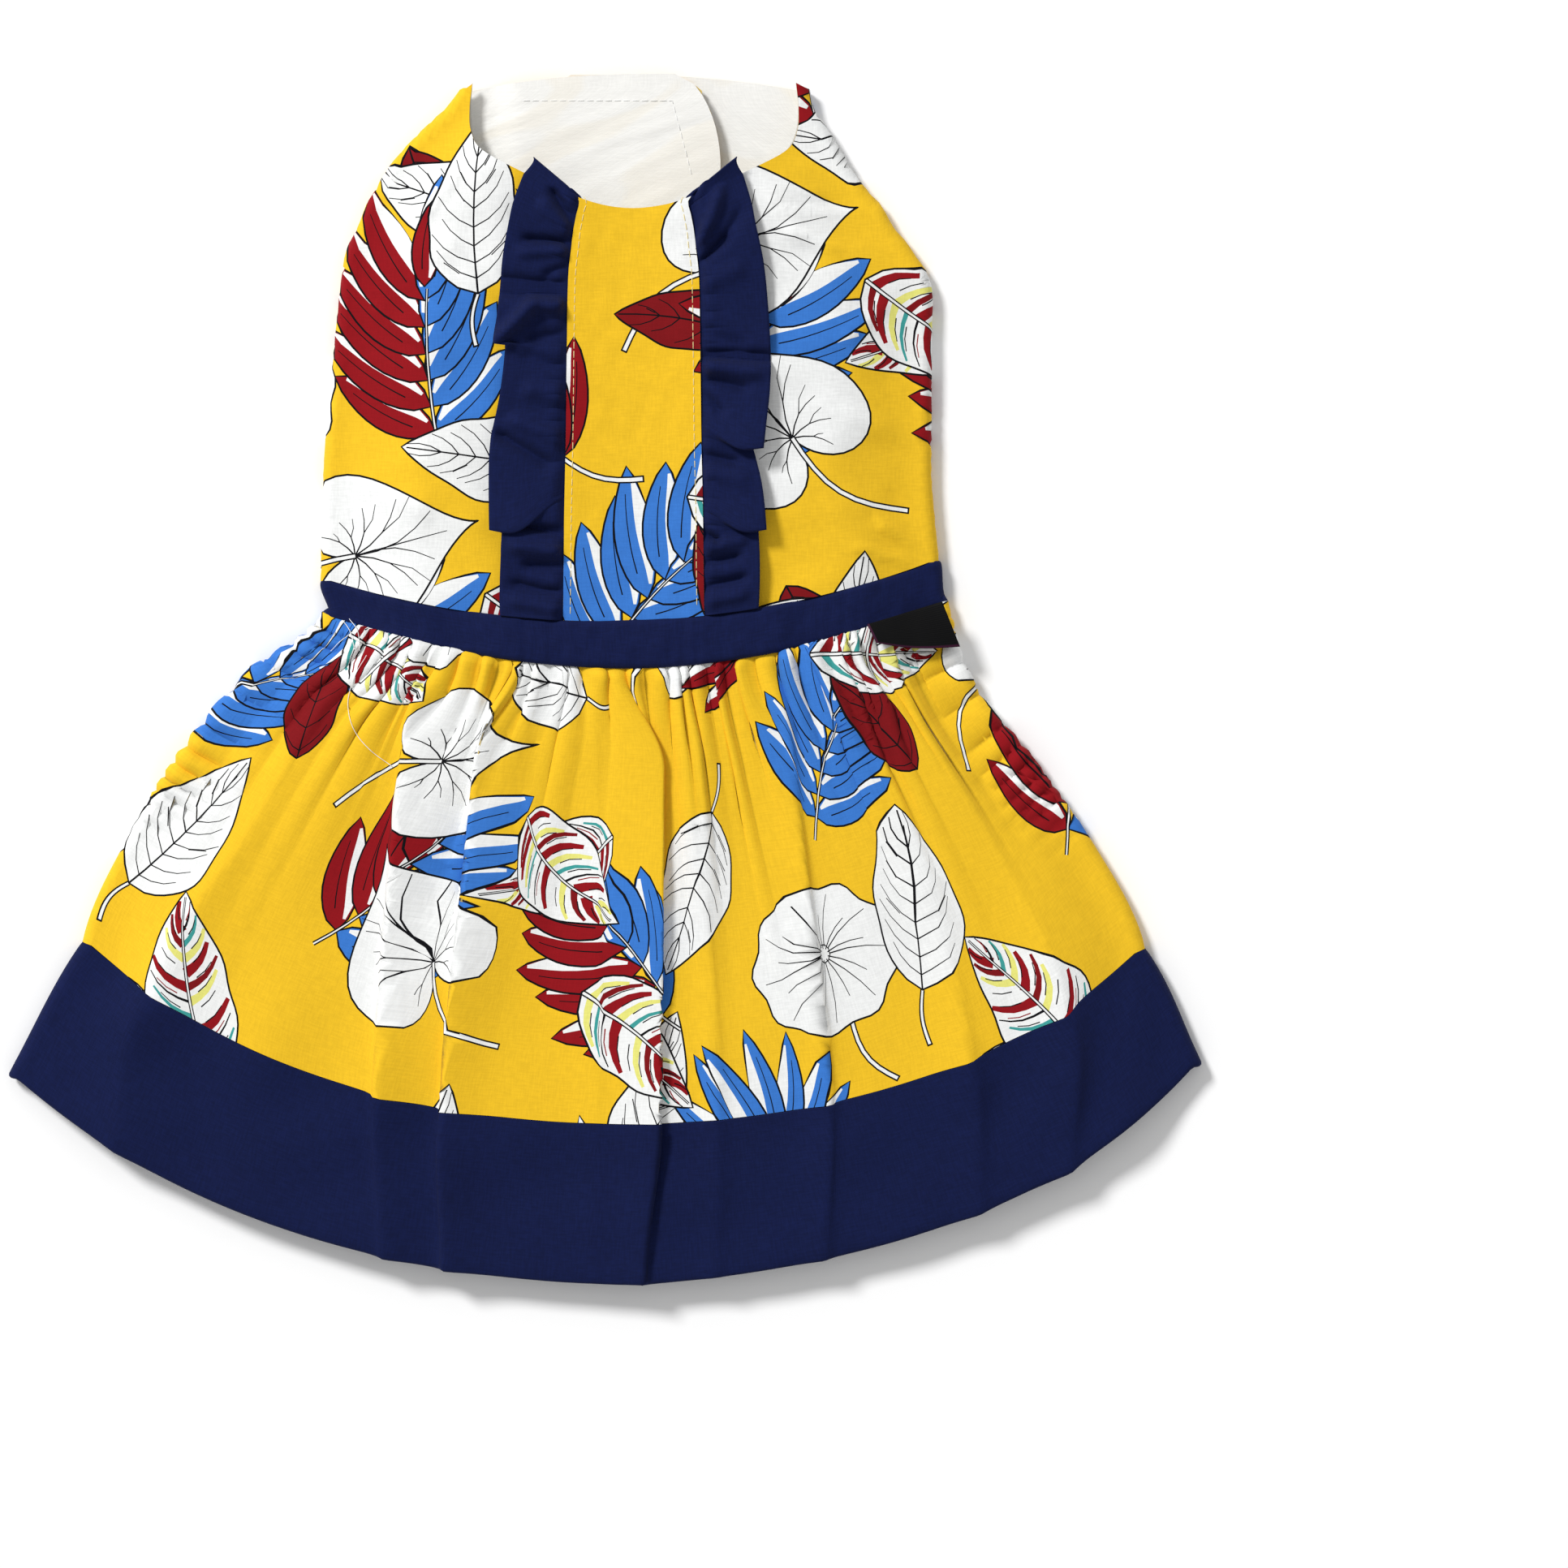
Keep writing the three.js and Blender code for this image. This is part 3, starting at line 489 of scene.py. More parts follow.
def strap_root(side):
    inmost = 1 - track(SKIRT_ROWS, "under", -1.0)
    return float(skirt_plan(np.array(side * inmost), np.array(-1.0))[0]) - side * 2 * CLEARANCE


def bodice_height(down):
    return np.where(down < 1, BODICE_LENGTH + NECK_DEPTH * (1 - down), BODICE_LENGTH * (2 - down))


def bodice_row(name, row):
    return track(BODICE_ROWS, name, row)


def panel_edge(side, row):
    x = side * (HALF_NECK * bodice_row("neck", row) + HALF_PLACKET * bodice_row("placket", row))
    return x, bodice_height(bodice_row("edge_down", row)) + bodice_row("waist", row) * waist_rise(x)


def side_fold(side, row):
    out = bodice_row("out_left" if side < 0 else "out_right", row)
    x = side * (HALF_NECK + (HALF_CHEST - HALF_NECK) * out - FOLD_RADIUS)
    return x, bodice_height(bodice_row("fold_down", row)) + bodice_row("waist", row) * waist_rise(x)


fold_rows = np.linspace(0, WAIST_ROW, 400)
FOLD_LINES = {side: side_fold(side, fold_rows) for side in (-1, 1)}
BETWEEN_STRAPS = 90.0
WRINKLE_MARGIN = 12.0
WAVE_HEIGHT = 0.45
RIPPLE_HEIGHT = 0.2
CREASE_SHARE = 1.4


def fold_x(side, y):
    """x of the side fold at a height y."""
    line_x, line_y = FOLD_LINES[side]
    return np.interp(y, line_y[::-1], line_x[::-1])


def flap_end(side, row):
    """The free end of a strap and the height of its rows there."""
    if row <= CHEST_STRAP_LAST + 0.5:
        share = np.clip(row / CHEST_STRAP_LAST, 0, 1)
        rounded = CHEST_END_ROUND * math.sqrt(math.sin(math.pi * share) + 1e-6)
        reach = CHEST_OVERLAP / 2 - CHEST_END_ROUND + rounded
        top = BODICE_LENGTH + NECK_DEPTH + CHEST_STRAP_RISE
        return CHEST_OVERLAP_X - side * reach, top - CHEST_STRAP_DEPTH * share
    share = np.clip((row - BELLY_STRAP_FIRST) / (TAB_LAST - BELLY_STRAP_FIRST), 0, 1)
    rounded = BELLY_END_ROUND * math.sqrt(max(math.sin(math.pi * share), 0) + 1e-6)
    reach = BELLY_OVERLAP / 2 - BELLY_END_ROUND + rounded
    at_waist = (WAIST_ROW - BELLY_STRAP_FIRST) / (TAB_LAST - BELLY_STRAP_FIRST)
    above = (BELLY_STRAP_DEPTH - BELLY_STRAP_DROP) * (1 - min(share / at_waist, 1))
    below = BELLY_STRAP_DROP * max((share - at_waist) / (1 - at_waist), 0)
    return BELLY_OVERLAP_X - side * reach, above - below


def under_y(side, row, x):
    """The height y of a row underneath, at x."""
    end_y = flap_end(side, row)[1]
    line_x, line_y = side_fold(side, float(min(row, WAIST_ROW)))
    inward = 1 - (1 - np.clip(np.abs(x - line_x) / STRAP_SETTLES, 0, 1)) ** 2
    to_waist = waist_under(side, x) - mix(side_fold(side, float(WAIST_ROW))[1], 0, inward)
    return mix(line_y, end_y, inward) + bodice_row("waist", float(row)) * to_waist


def bodice_flat(side, x, y):
    """The flat place of a spot underneath: past the fold and back."""
    line = fold_x(side, y)
    return line + side * (math.pi * FOLD_RADIUS + side * (line - x))


def bodice_place(u, v, wrinkled=True):
    """The bodice's cloth: flat place to where it lies."""
    half_turn = math.pi * FOLD_RADIUS
    sides = []
    for side in (-1, 1):
        line = fold_x(side, v)
        past = side * (u - line)
        slope = (fold_x(side, v + 0.5) - fold_x(side, v - 0.5))
        out = np.stack([np.full_like(slope, side), -side * slope], -1) / np.hypot(1, slope)[..., None]
        z_top = mix(FOLD_TOP, BACK_HEIGHT, smooth(-past / RISE_RUN))
        if wrinkled:
            waves = WAVE_HEIGHT * ripple(u, v, 32, 5) + RIPPLE_HEIGHT * ripple(u, v, 14, 6)
            waves = waves + CREASE_SHARE * bodice_creases(u, v)
            z_top = z_top + smooth(-past / WRINKLE_MARGIN) * waves
        turn = np.clip(past / FOLD_RADIUS, 0, math.pi)
        reach = FOLD_RADIUS * np.sin(turn)
        x_under = line - side * (past - half_turn)
        first = flap_end(1, CHEST_STRAP_LAST / 2)[0] - RAMP_MARGIN - RAMP_RUN
        second = flap_end(1, WAIST_ROW)[0] - RAMP_MARGIN - RAMP_RUN
        start = np.where(v > BETWEEN_STRAPS, first, second)
        climb = smooth((x_under - start) / RAMP_RUN) if side < 0 else 0.0
        z_under = mix(LOW, INNER_FLAP_LEVEL, climb) + np.zeros_like(u)
        x = np.where(past <= 0, u, np.where(past < half_turn, line + out[..., 0] * reach, x_under))
        y = np.where((past > 0) & (past < half_turn), v + out[..., 1] * reach, v)
        z_round = LOW + FOLD_RADIUS * (1 + np.cos(turn))
        z = np.where(past <= 0, z_top, np.where(past < half_turn, z_round, z_under))
        sides.append(np.stack([x, y, z], -1))
    return np.where((u < 0)[..., None], sides[0], sides[1])


# Creases of the bodice: start, end, height and width in mm.
BODICE_CREASES = [
    ((44, 121), (66, 112), 0.7, 2.2), ((40, 128), (70, 129), -0.5, 2.0),
    ((72, 32), (92, 20), 1.0, 1.8), ((76, 42), (94, 25), -0.6, 2.2), ((64, 24), (88, 17), 0.7, 1.6),
    ((-88, 45), (-60, 30), 0.5, 3.0), ((-82, 98), (-62, 84), 0.6, 2.6), ((-60, 120), (-42, 96), 0.5, 2.5),
    ((60, 66), (92, 52), 0.6, 3.0), ((62, 84), (80, 100), 0.6, 2.6), ((-52, 140), (-66, 122), 0.6, 2.0),
]


def bodice_creases(x, y):
    return sum(crease(x, y, *row) for row in BODICE_CREASES)


# %% Outlines of the cut pieces
EDGE_POINTS = 66
# At the shoulder, each further point round the fold on top is raised by this, in mm.
TIP_RISE = 0.55


def round_the_fold(side, y, count=7):
    """Flat places round the side fold at one height, from on top to underneath."""
    line = float(fold_x(side, y))
    slope = float(fold_x(side, y) - fold_x(side, y - 1))
    tilt = -side * slope / math.hypot(1, slope)
    turns = [math.pi * k / (count - 1) for k in range(count)]
    return [(line + side * FOLD_RADIUS * turn, y - tilt * FOLD_RADIUS * math.sin(turn)) for turn in turns]


def under_line(side, row, start, end, count=14):
    """Flat places along a row underneath, from x start to x end."""
    x = np.linspace(start, end, count)
    y = under_y(side, row, x)
    return list(zip(bodice_flat(side, x, y), y))


def flap_edge(side, rows):
    """Flat places down the free end of a flap."""
    points = []
    for row in rows:
        end_x = flap_end(side, row)[0]
        end_y = float(under_y(side, row, np.array(end_x)))
        points.append((float(bodice_flat(side, end_x, end_y)), end_y))
    return points


def bodice_outline(side):
    """The cut piece of one side panel: neckline, seam, waist, straps and leg opening."""
    x, y = panel_edge(side, np.linspace(0, WAIST_ROW, EDGE_POINTS))
    y[-1] += CLEARANCE
    points = list(zip(x, y))
    fold_end = float(side_fold(side, float(WAIST_ROW))[0])
    waist_x = np.linspace(x[-1], fold_end, 16)[1:]
    points += list(zip(waist_x, waist_rise(waist_x) + CLEARANCE))
    points += round_the_fold(side, points[-1][1])[1:]
    root = strap_root(side)
    points += [(u, v + CLEARANCE) for u, v in under_line(side, WAIST_ROW, fold_end, root)[1:]]
    end = flap_end(side, TAB_LAST)[0]
    points += under_line(side, TAB_LAST, root, end, 12)
    points += flap_edge(side, np.linspace(TAB_LAST, BELLY_STRAP_FIRST, 16)[1:])
    edge = float(fold_x(side, side_fold(side, 10.0)[1])) - side * LEG_EDGE_WIDTH
    end = flap_end(side, BELLY_STRAP_FIRST)[0]
    points += under_line(side, BELLY_STRAP_FIRST, end, edge)[1:]
    for row in np.linspace(BELLY_STRAP_FIRST, CHEST_STRAP_LAST, 8)[1:-1]:
        line_x, line_y = side_fold(side, row)
        points.append((float(line_x) + side * (math.pi * FOLD_RADIUS + LEG_EDGE_WIDTH), float(line_y)))
    edge = float(side_fold(side, float(CHEST_STRAP_LAST))[0]) - side * LEG_EDGE_WIDTH
    end = flap_end(side, CHEST_STRAP_LAST)[0]
    points += under_line(side, CHEST_STRAP_LAST, edge, end)
    points += flap_edge(side, np.linspace(CHEST_STRAP_LAST, 0, 18)[1:])
    line_x = float(side_fold(side, 0.0)[0])
    points += under_line(side, 0, flap_end(side, 0)[0], line_x)[1:]
    tip = round_the_fold(side, points[-1][1])[::-1][1:]
    points += [(u, v + max(k - 2, 0) * TIP_RISE) for k, (u, v) in enumerate(tip)]
    return np.array([(float(a), float(b)) for a, b in points])


left_outline = bodice_outline(-1)
right_outline = bodice_outline(1)
print("outline points", len(left_outline), len(right_outline))

# %% [markdown]
# ## The print
# The real cloth is screen printed: flat areas of ink with a drawn black line on top. A
# picture would be the short way, but it blurs close up. Here each leaf is drawn as shapes
# in the flat cloth, and the cloth's own mesh is cut along them, so that every edge stays
# sharp. The leaves are plain ones of no one's design: simple leaves, hearts, pads, fans
# and feathered fronds, laid out over one repeat that all the pieces are cut from.

# %% Drawing tools
INKS = ["mustard", "white", "crimson", "blue", "ink", "teal", "lemon", "oxblood", "reverse"]
OUTLINE_WIDTH = 0.62
VEIN_WIDTH = 0.42


def area_of(points):
    x, y = points[:, 0], points[:, 1]
    return 0.5 * np.sum(x * np.roll(y, -1) - y * np.roll(x, -1))


def anticlockwise(points):
    return points[::-1] if area_of(points) < 0 else points


def filled(ink, points):
    """A shape filled with one ink."""
    points = anticlockwise(np.asarray(points, float))
    return (ink, points, [list(range(len(points)))])


def stroke(ink, points, width, end_width=None, closed=False):
    """A pen line, as a chain of small four-sided pieces."""
    points = np.asarray(points, float)
    count = len(points)
    if closed:
        along = np.roll(points, -1, 0) - np.roll(points, 1, 0)
    else:
        along = np.gradient(points, axis=0)
    along = along / np.maximum(np.linalg.norm(along, axis=1), 1e-9)[:, None]
    across = np.stack([along[:, 1], -along[:, 0]], 1)
    last_width = width if end_width is None else end_width
    half = (np.linspace(width, last_width, count) if np.isscalar(width) else width)[:, None] / 2
    corners = np.concatenate([points + across * half, points - across * half])
    pairs = [(k, (k + 1) % count) for k in range(count if closed else count - 1)]
    faces = [[a, b, b + count, a + count] for a, b in pairs]
    return (ink, corners, faces)


def outlined(ink, points):
    """A shape filled with one ink inside a drawn dark line."""
    points = anticlockwise(np.asarray(points, float))
    along = np.roll(points, -1, 0) - np.roll(points, 1, 0)
    along = along / np.linalg.norm(along, axis=1)[:, None]
    outward = np.stack([along[:, 1], -along[:, 0]], 1) * OUTLINE_WIDTH / 2
    return [filled("ink", points + outward), filled(ink, points - outward)]


def stalk(stem, width, end_width, fill="white"):
    """A stalk: two dark edges with the fill between them, closed at its lower end."""
    inner = stem.copy()
    inner[0] = stem[0] + 0.55 * (stem[1] - stem[0]) / np.linalg.norm(stem[1] - stem[0])
    return [stroke("ink", stem, width, end_width), stroke(fill, inner, width - 1.0, end_width - 0.95)]


def line_points(start, end, bend=0.0, count=7):
    """Points from start to end that bow to one side."""
    start, end = np.asarray(start, float), np.asarray(end, float)
    t = np.linspace(0, 1, count)[:, None]
    across = np.array([-(end - start)[1], (end - start)[0]])
    return start + (end - start) * t + across * bend * np.sin(math.pi * t)


def leaf_half(t, width, fullness):
    return width / 2 * np.sin(math.pi * np.clip(t, 0, 1) ** fullness) ** 0.85


def drawn_vein(points, share=1.0, end_share=None):
    """A fine dark line. Its widths are shares of the usual vein's."""
    return stroke("ink", points, VEIN_WIDTH * share, None if end_share is None else VEIN_WIDTH * end_share)


def bent_rib(bend, length, last=0.97, count=8):
    t = np.linspace(0, last, count)
    return np.stack([bend * t ** 2, t * length], 1)


def vein_ends(bend, length, t, end_t, side_reach):
    """Where a side vein leaves the rib and where it ends."""
    return np.array([bend * t ** 2, t * length]), np.array([bend * end_t ** 2 + side_reach, end_t * length])


def leaf_points(length, width, bend, fullness, seed, count=22):
    """The outline of a pointed leaf whose middle line bends."""
    chance = np.random.default_rng(seed)
    t = np.linspace(0, 1, count)
    wave = 1 + 0.045 * np.sin(t * chance.uniform(14, 22) + chance.uniform(0, 6)) * np.sin(math.pi * t)
    half = leaf_half(t, width, fullness)
    middle = bend * t ** 2
    right = np.stack([middle + half * wave, t * length], 1)
    left = np.stack([middle - half * (2 - wave), t * length], 1)
    return np.concatenate([right, left[-2:0:-1]])


def simple_leaf(size, seed, fill="white", veins=8, wide=0.52, stem_share=0.3):
    """A pointed leaf with a rib and side veins, on a short stalk."""
    chance = np.random.default_rng(seed)
    length, width = size, size * wide
    bend = chance.uniform(-0.22, 0.22) * size
    fullness = chance.uniform(0.68, 0.85)
    shapes = []
    if stem_share:
        stem = line_points((-bend * 0.3, -stem_share * length), (0, 0), 0.1, 12)
        shapes += stalk(stem, 1.9, 1.6, fill)
    outline = leaf_points(length, width, bend, fullness, seed)
    shapes += outlined(fill, outline)
    for k in range(veins):
        t = 0.08 + 0.78 * (k + chance.uniform(-0.15, 0.15)) / veins
        for hand in (-1, 1):
            end_t = min(t + chance.uniform(0.16, 0.22), 0.97)
            reach = leaf_half(end_t, width, fullness) * chance.uniform(0.7, 0.92)
            start, end = vein_ends(bend, length, t, end_t, hand * reach)
            shapes.append(drawn_vein(line_points(start, end, -hand * 0.1, 4), 1, 0.6))
            if chance.random() < 0.4:
                dash = [mix(start, end, s) + (0, -length * 0.045) for s in (0.45, 0.85)]
                shapes.append(drawn_vein(dash, 0.8))
    shapes.append(drawn_vein(bent_rib(bend, length), 1.5, 1))
    return shapes


# Which way each vein of a heart leaf goes, in radians from straight up.
HEART_VEINS = (-2.35, -1.75, -1.2, -0.72, -0.3, 0, 0.34, 0.76, 1.25, 1.8, 2.4)


def heart_leaf(size, seed):
    """A broad heart-shaped leaf with veins that spread from the notch."""
    chance = np.random.default_rng(seed)
    t = np.linspace(0, math.tau, 60, endpoint=False)
    wave = 1 + 0.015 * np.sin(7 * t + seed)
    x = 16 * np.sin(t) ** 3 * wave
    y = -(13 * np.cos(t) - 5 * np.cos(2 * t) - 2 * np.cos(3 * t) - np.cos(4 * t))
    lean = chance.uniform(-0.12, 0.12) * (y / 17) ** 2 * 16
    outline = np.stack([(x + lean) * size / 32 * 0.92, (y + 12) * size / 29], 1)
    start = np.array([0, 0.27 * size])
    stem = line_points((chance.uniform(-0.3, 0.3) * size, -0.45 * size), start, 0.15, 9)
    shapes = [filled("white", outline)]
    for turn in HEART_VEINS:
        away = np.abs(turn)
        reach = size * mix(0.58, 0.27, min(away / 1.5, 1)) * chance.uniform(0.86, 1.0)
        end = start + reach * np.array([0.9 * math.sin(turn), math.cos(turn)])
        end[0] = np.clip(end[0], -0.38 * size, 0.38 * size)
        vein = line_points(start, end, 0.12 * np.sign(turn), 5)
        shapes.append(drawn_vein(vein, 1.2, 0.6))
        if away > 0.5:
            fork = line_points(vein[2], vein[4] + (0, size * 0.08), 0.1 * np.sign(turn), 3)
            shapes.append(drawn_vein(fork, 0.8, 0.5))
    shapes.append(stroke("ink", outline, OUTLINE_WIDTH, closed=True))
    shapes += stalk(stem, 2.1, 1.9)
    return shapes


def pad_leaf(size, seed):
    """A round leaf, with its stalk at the middle and rays to a scalloped rim."""
    chance = np.random.default_rng(seed)
    t = np.linspace(0, math.tau, 54, endpoint=False)
    radius = 0.5 * size * (1 + 0.045 * np.cos(9 * t))
    outline = np.stack([radius * np.sin(t), 0.86 * radius * np.cos(t)], 1)
    stem = line_points((0.1 * size, -0.85 * size), (0, -0.38 * size), 0.15, 8)
    shapes = stalk(stem, 2.0, 1.9) + outlined("white", outline)
    hub = np.array([0.0, 0.04 * size])
    for k in range(18):
        turn = math.tau * (k + 0.5) / 18 + chance.uniform(-0.06, 0.06)
        reach = 0.5 * size * (0.88 if k % 2 else 0.62)
        end = np.array([reach * math.sin(turn), 0.86 * reach * math.cos(turn)])
        shapes.append(drawn_vein(line_points(hub + 0.12 * (end - hub), end, 0.06, 4), 1, 0.6))
    ring = 0.055 * size * np.stack([np.sin(t[::6]), np.cos(t[::6])], 1) + hub
    shapes.append(stroke("ink", ring, VEIN_WIDTH, closed=True))
    return shapes


def leaflet(base, turn, length, width, ink, hand):
    """One narrow leaf of a frond: colour, a white stripe along one side, a dark line."""
    t = np.linspace(0, 1, 11)
    half = width / 2 * np.sin(math.pi * t ** 0.86) ** 0.7
    bow = hand * 0.12 * length * t ** 2

    def line(aside):
        return np.stack([bow + aside, t * length], 1)

    shapes = outlined(ink, np.concatenate([line(half), line(-half)[-2:0:-1]]))
    if width > 3:
        stripe = line(hand * half * 0.6)[1:-1]
        shapes.append(stroke("white", stripe, 0.42 * width * np.sin(math.pi * t[1:-1]) ** 1.5))
        shapes.append(drawn_vein(line(-hand * half * 0.25)[2:9], 1, 0.6))
    return turned(shapes, turn, 1, base)


def turned(shapes, turn, scale, place):
    """The same shapes turned (degrees), scaled and moved."""
    angle = math.radians(turn)
    spin = np.array([[math.cos(angle), math.sin(angle)], [-math.sin(angle), math.cos(angle)]])
    return [(ink, points @ spin * scale + place, faces) for ink, points, faces in shapes]


def frond(size, seed, first="crimson", second="crimson"):
    """A feathered frond: pairs of narrow leaves along a bent rib."""
    chance = np.random.default_rng(seed)
    bend = chance.uniform(0.1, 0.2) * size * (1 if seed % 2 else -1)
    pairs = 6
    shapes = []
    for k in range(pairs):
        t = 0.1 + 0.74 * k / (pairs - 1)
        base = np.array([bend * t ** 2, t * size * 0.85])
        length = size * (0.42 + 0.24 * math.sin(math.pi * (0.18 + 0.62 * t)))
        spread = mix(64, 20, t)
        for hand, ink in ((-1, first), (1, second)):
            turn = -hand * spread + chance.uniform(-4, 4)
            shapes += leaflet(base, turn, length * chance.uniform(0.92, 1.05), size * 0.2, ink, -hand)
    tip = np.array([bend * 0.82, 0.78 * size])
    shapes += leaflet(tip, -math.degrees(math.atan2(bend * 1.8, size)), size * 0.42, size * 0.14, first, 1)
    rib = bent_rib(bend, size * 0.85, 0.95, 10) + (0, -0.04 * size)
    shapes += [stroke("ink", rib, 1.5, 0.9), stroke("white", rib, 0.5, 0.2)]
    return shapes


def fan_leaf(size, seed, first="white", second="white"):
    """A fan: narrow leaves that spread from one point."""
    shapes = []
    count = 9
    for k in sorted(range(count), key=lambda n: -abs(n - count // 2)):
        share = k / (count - 1) * 2 - 1
        length = size * (1.0 - 0.26 * share ** 2)
        ink = first if k % 2 else second
        hand = 1 if share < 0 else -1
        shapes += leaflet((0, 0), -share * 74, length, size * 0.2, ink, hand)
    stem = line_points((0.12 * size, -0.5 * size), (0, 0.03 * size), 0.12, 8)
    shapes += stalk(stem, 2.2, 1.8)
    return shapes


# The brushed bands in mm, on a leaf 48 mm long.
BRUSH_WIDTHS = {"crimson": 2.7, "oxblood": 1.9, "lemon": 2.1, "teal": 1.3, "ink": 0.7, "white": 0.5}


def painted_leaf(size, seed):
    """A broad leaf with brushed bands of colour from the rib to the rim."""
    chance = np.random.default_rng(seed)
    length, width, bend = size, size * 0.5, chance.uniform(-0.25, 0.25) * size
    outline = leaf_points(length, width, bend, 0.72, seed, 24)
    shapes = [filled("white", outline)]
    colours = ["crimson", "lemon", "teal", "ink", "crimson", "white", "lemon", "oxblood"]
    for k in range(11):
        t = 0.06 + 0.8 * k / 11
        for hand in (-1, 1):
            end_t = min(t + 0.16, 0.98)
            reach = leaf_half(end_t, width, 0.72) * chance.uniform(0.78, 0.94)
            ink = colours[(k + (3 if hand > 0 else 0) + seed) % len(colours)]
            thick = BRUSH_WIDTHS[ink]
            start, end = vein_ends(bend, length, t, end_t, hand * reach)
            path = line_points(start, end, -hand * 0.12, 5)
            shapes.append(stroke(ink, path, thick * size / 48, thick * 0.4 * size / 48))
            fine = path + (0, 0.024 * length)
            shapes.append(stroke("ink" if ink != "ink" else "crimson", fine[1:4], 0.4, 0.3))
    rib = bent_rib(bend, length)
    shapes += [stroke("ink", rib, 1.7, 0.8), stroke("white", rib, 0.8, 0.2)]
    shapes.append(stroke("ink", outline, OUTLINE_WIDTH, closed=True))
    return shapes


red_leaf = partial(simple_leaf, fill="oxblood", veins=4, wide=0.5, stem_share=0)
two_tone_frond = partial(frond, first="crimson", second="blue")
blue_frond = partial(frond, first="blue", second="blue")
red_fan = partial(fan_leaf, first="crimson", second="crimson")
blue_fan = partial(fan_leaf, first="blue", second="blue")

# %% One repeat of the print
REPEAT_WIDTH = 290.0
REPEAT_HEIGHT = 230.0
# motif, x, y, turn in degrees, size in mm
MOTIFS = [
    (simple_leaf, 14, 12, -38, 58), (blue_fan, 70, 12, 20, 46), (heart_leaf, 132, 0, -64, 54),
    (painted_leaf, 172, 12, 28, 60), (red_leaf, 226, 28, -150, 40), (simple_leaf, 262, 2, 64, 50),
    (two_tone_frond, 40, 60, 58, 62), (pad_leaf, 96, 74, 12, 52), (simple_leaf, 126, 56, -22, 58),
    (two_tone_frond, 192, 70, -42, 66), (heart_leaf, 238, 62, 42, 56), (painted_leaf, 288, 70, -118, 58),
    (painted_leaf, 6, 118, 118, 56), (simple_leaf, 62, 124, 155, 54), (blue_frond, 106, 112, -28, 60),
    (red_leaf, 156, 120, 24, 42), (heart_leaf, 196, 130, -75, 54), (painted_leaf, 250, 122, -128, 58),
    (heart_leaf, 34, 166, -24, 56), (red_fan, 96, 178, 62, 50), (painted_leaf, 134, 166, -98, 60),
    (pad_leaf, 180, 186, -40, 50), (two_tone_frond, 236, 166, 12, 64), (simple_leaf, 276, 160, 82, 52),
    (fan_leaf, 10, 214, 40, 52), (simple_leaf, 62, 216, -132, 50), (red_leaf, 150, 216, 70, 38),
    (frond, 204, 228, 96, 56), (simple_leaf, 248, 214, 8, 54),
]


def whole_repeat():
    """Every motif of one repeat, in the order it is printed."""
    motifs = []
    for number, (motif, x, y, turn, size) in enumerate(MOTIFS):
        shapes = turned(motif(size, number + 3), turn, 1, np.array([x, y], float))
        corners = np.concatenate([points for _, points, _ in shapes])
        motifs.append((shapes, corners.min(0), corners.max(0)))
    return motifs


REPEAT = whole_repeat()
print("motifs", len(REPEAT), "shapes", sum(len(m[0]) for m in REPEAT))


def cut_from_print(outline, corner):
    """The shapes that fall on a piece, when its low corner is laid at a spot of the print."""
    low, high = outline.min(0), outline.max(0)
    found = []
    for shapes, motif_low, motif_high in REPEAT:
        for i in range(-2, 4):
            for j in range(-2, 4):
                move = low - corner + (i * REPEAT_WIDTH, j * REPEAT_HEIGHT)
                if np.all(motif_low + move < high) and np.all(motif_high + move > low):
                    found += [(ink, points + move, faces) for ink, points, faces in shapes]
    return found


# %% Cutting the cloth along the print
def printed_mesh(outline, corner, spots, creases=()):
    """Triangles of a flat piece, cut along every printed shape and crease, and the ink of each."""
    outline = anticlockwise(outline)
    points = [outline]
    faces = [list(range(len(outline)))]
    inks = [INKS.index("mustard")]
    count = len(outline)
    low, high = outline.min(0) - 1, outline.max(0) + 1
    for ink, corners, polygons in cut_from_print(outline, corner):
        if np.any(corners.max(0) < low) or np.any(corners.min(0) > high):
            continue
        points.append(corners)
        for polygon in polygons:
            loop = np.array(polygon)
            if area_of(corners[loop]) < 0:
                loop = loop[::-1]
            faces.append((loop + count).tolist())
            inks.append(INKS.index(ink))
        count += len(corners)
    points.append(spots)
    count += len(spots)
    edges = [(count + 2 * k, count + 2 * k + 1) for k in range(len(creases))]
    points += [np.array(ends, float) for ends in creases]
    flat = np.concatenate(points)
    result = delaunay_2d_cdt([tuple(p) for p in flat.tolist()], edges, faces, 0, 1e-4, True)
    flat_out = np.array([tuple(p) for p in result[0]])
    triangles = []
    tones = []
    for triangle, owners in zip(result[2], result[5]):
        if 0 in owners:
            triangles.append(triangle)
            tones.append(inks[max(owners)])
    return flat_out, np.array(triangles), np.array(tones)


def spots_inside(outline, step_u, step_v, u_lines=None, v_lines=None):
    """A field of points for the folds to bend at. An even one has each row half a step along."""
    low, high = outline.min(0), outline.max(0)
    us = np.arange(low[0], high[0], step_u) if u_lines is None else u_lines
    vs = np.arange(low[1] + step_v / 2, high[1], step_v) if v_lines is None else v_lines
    grid = []
    for k, v in enumerate(vs):
        move = 0.5 * step_u * (k % 2)
        grid.append(np.stack([us + move, np.full_like(us, v)], 1))
    return np.concatenate(grid)
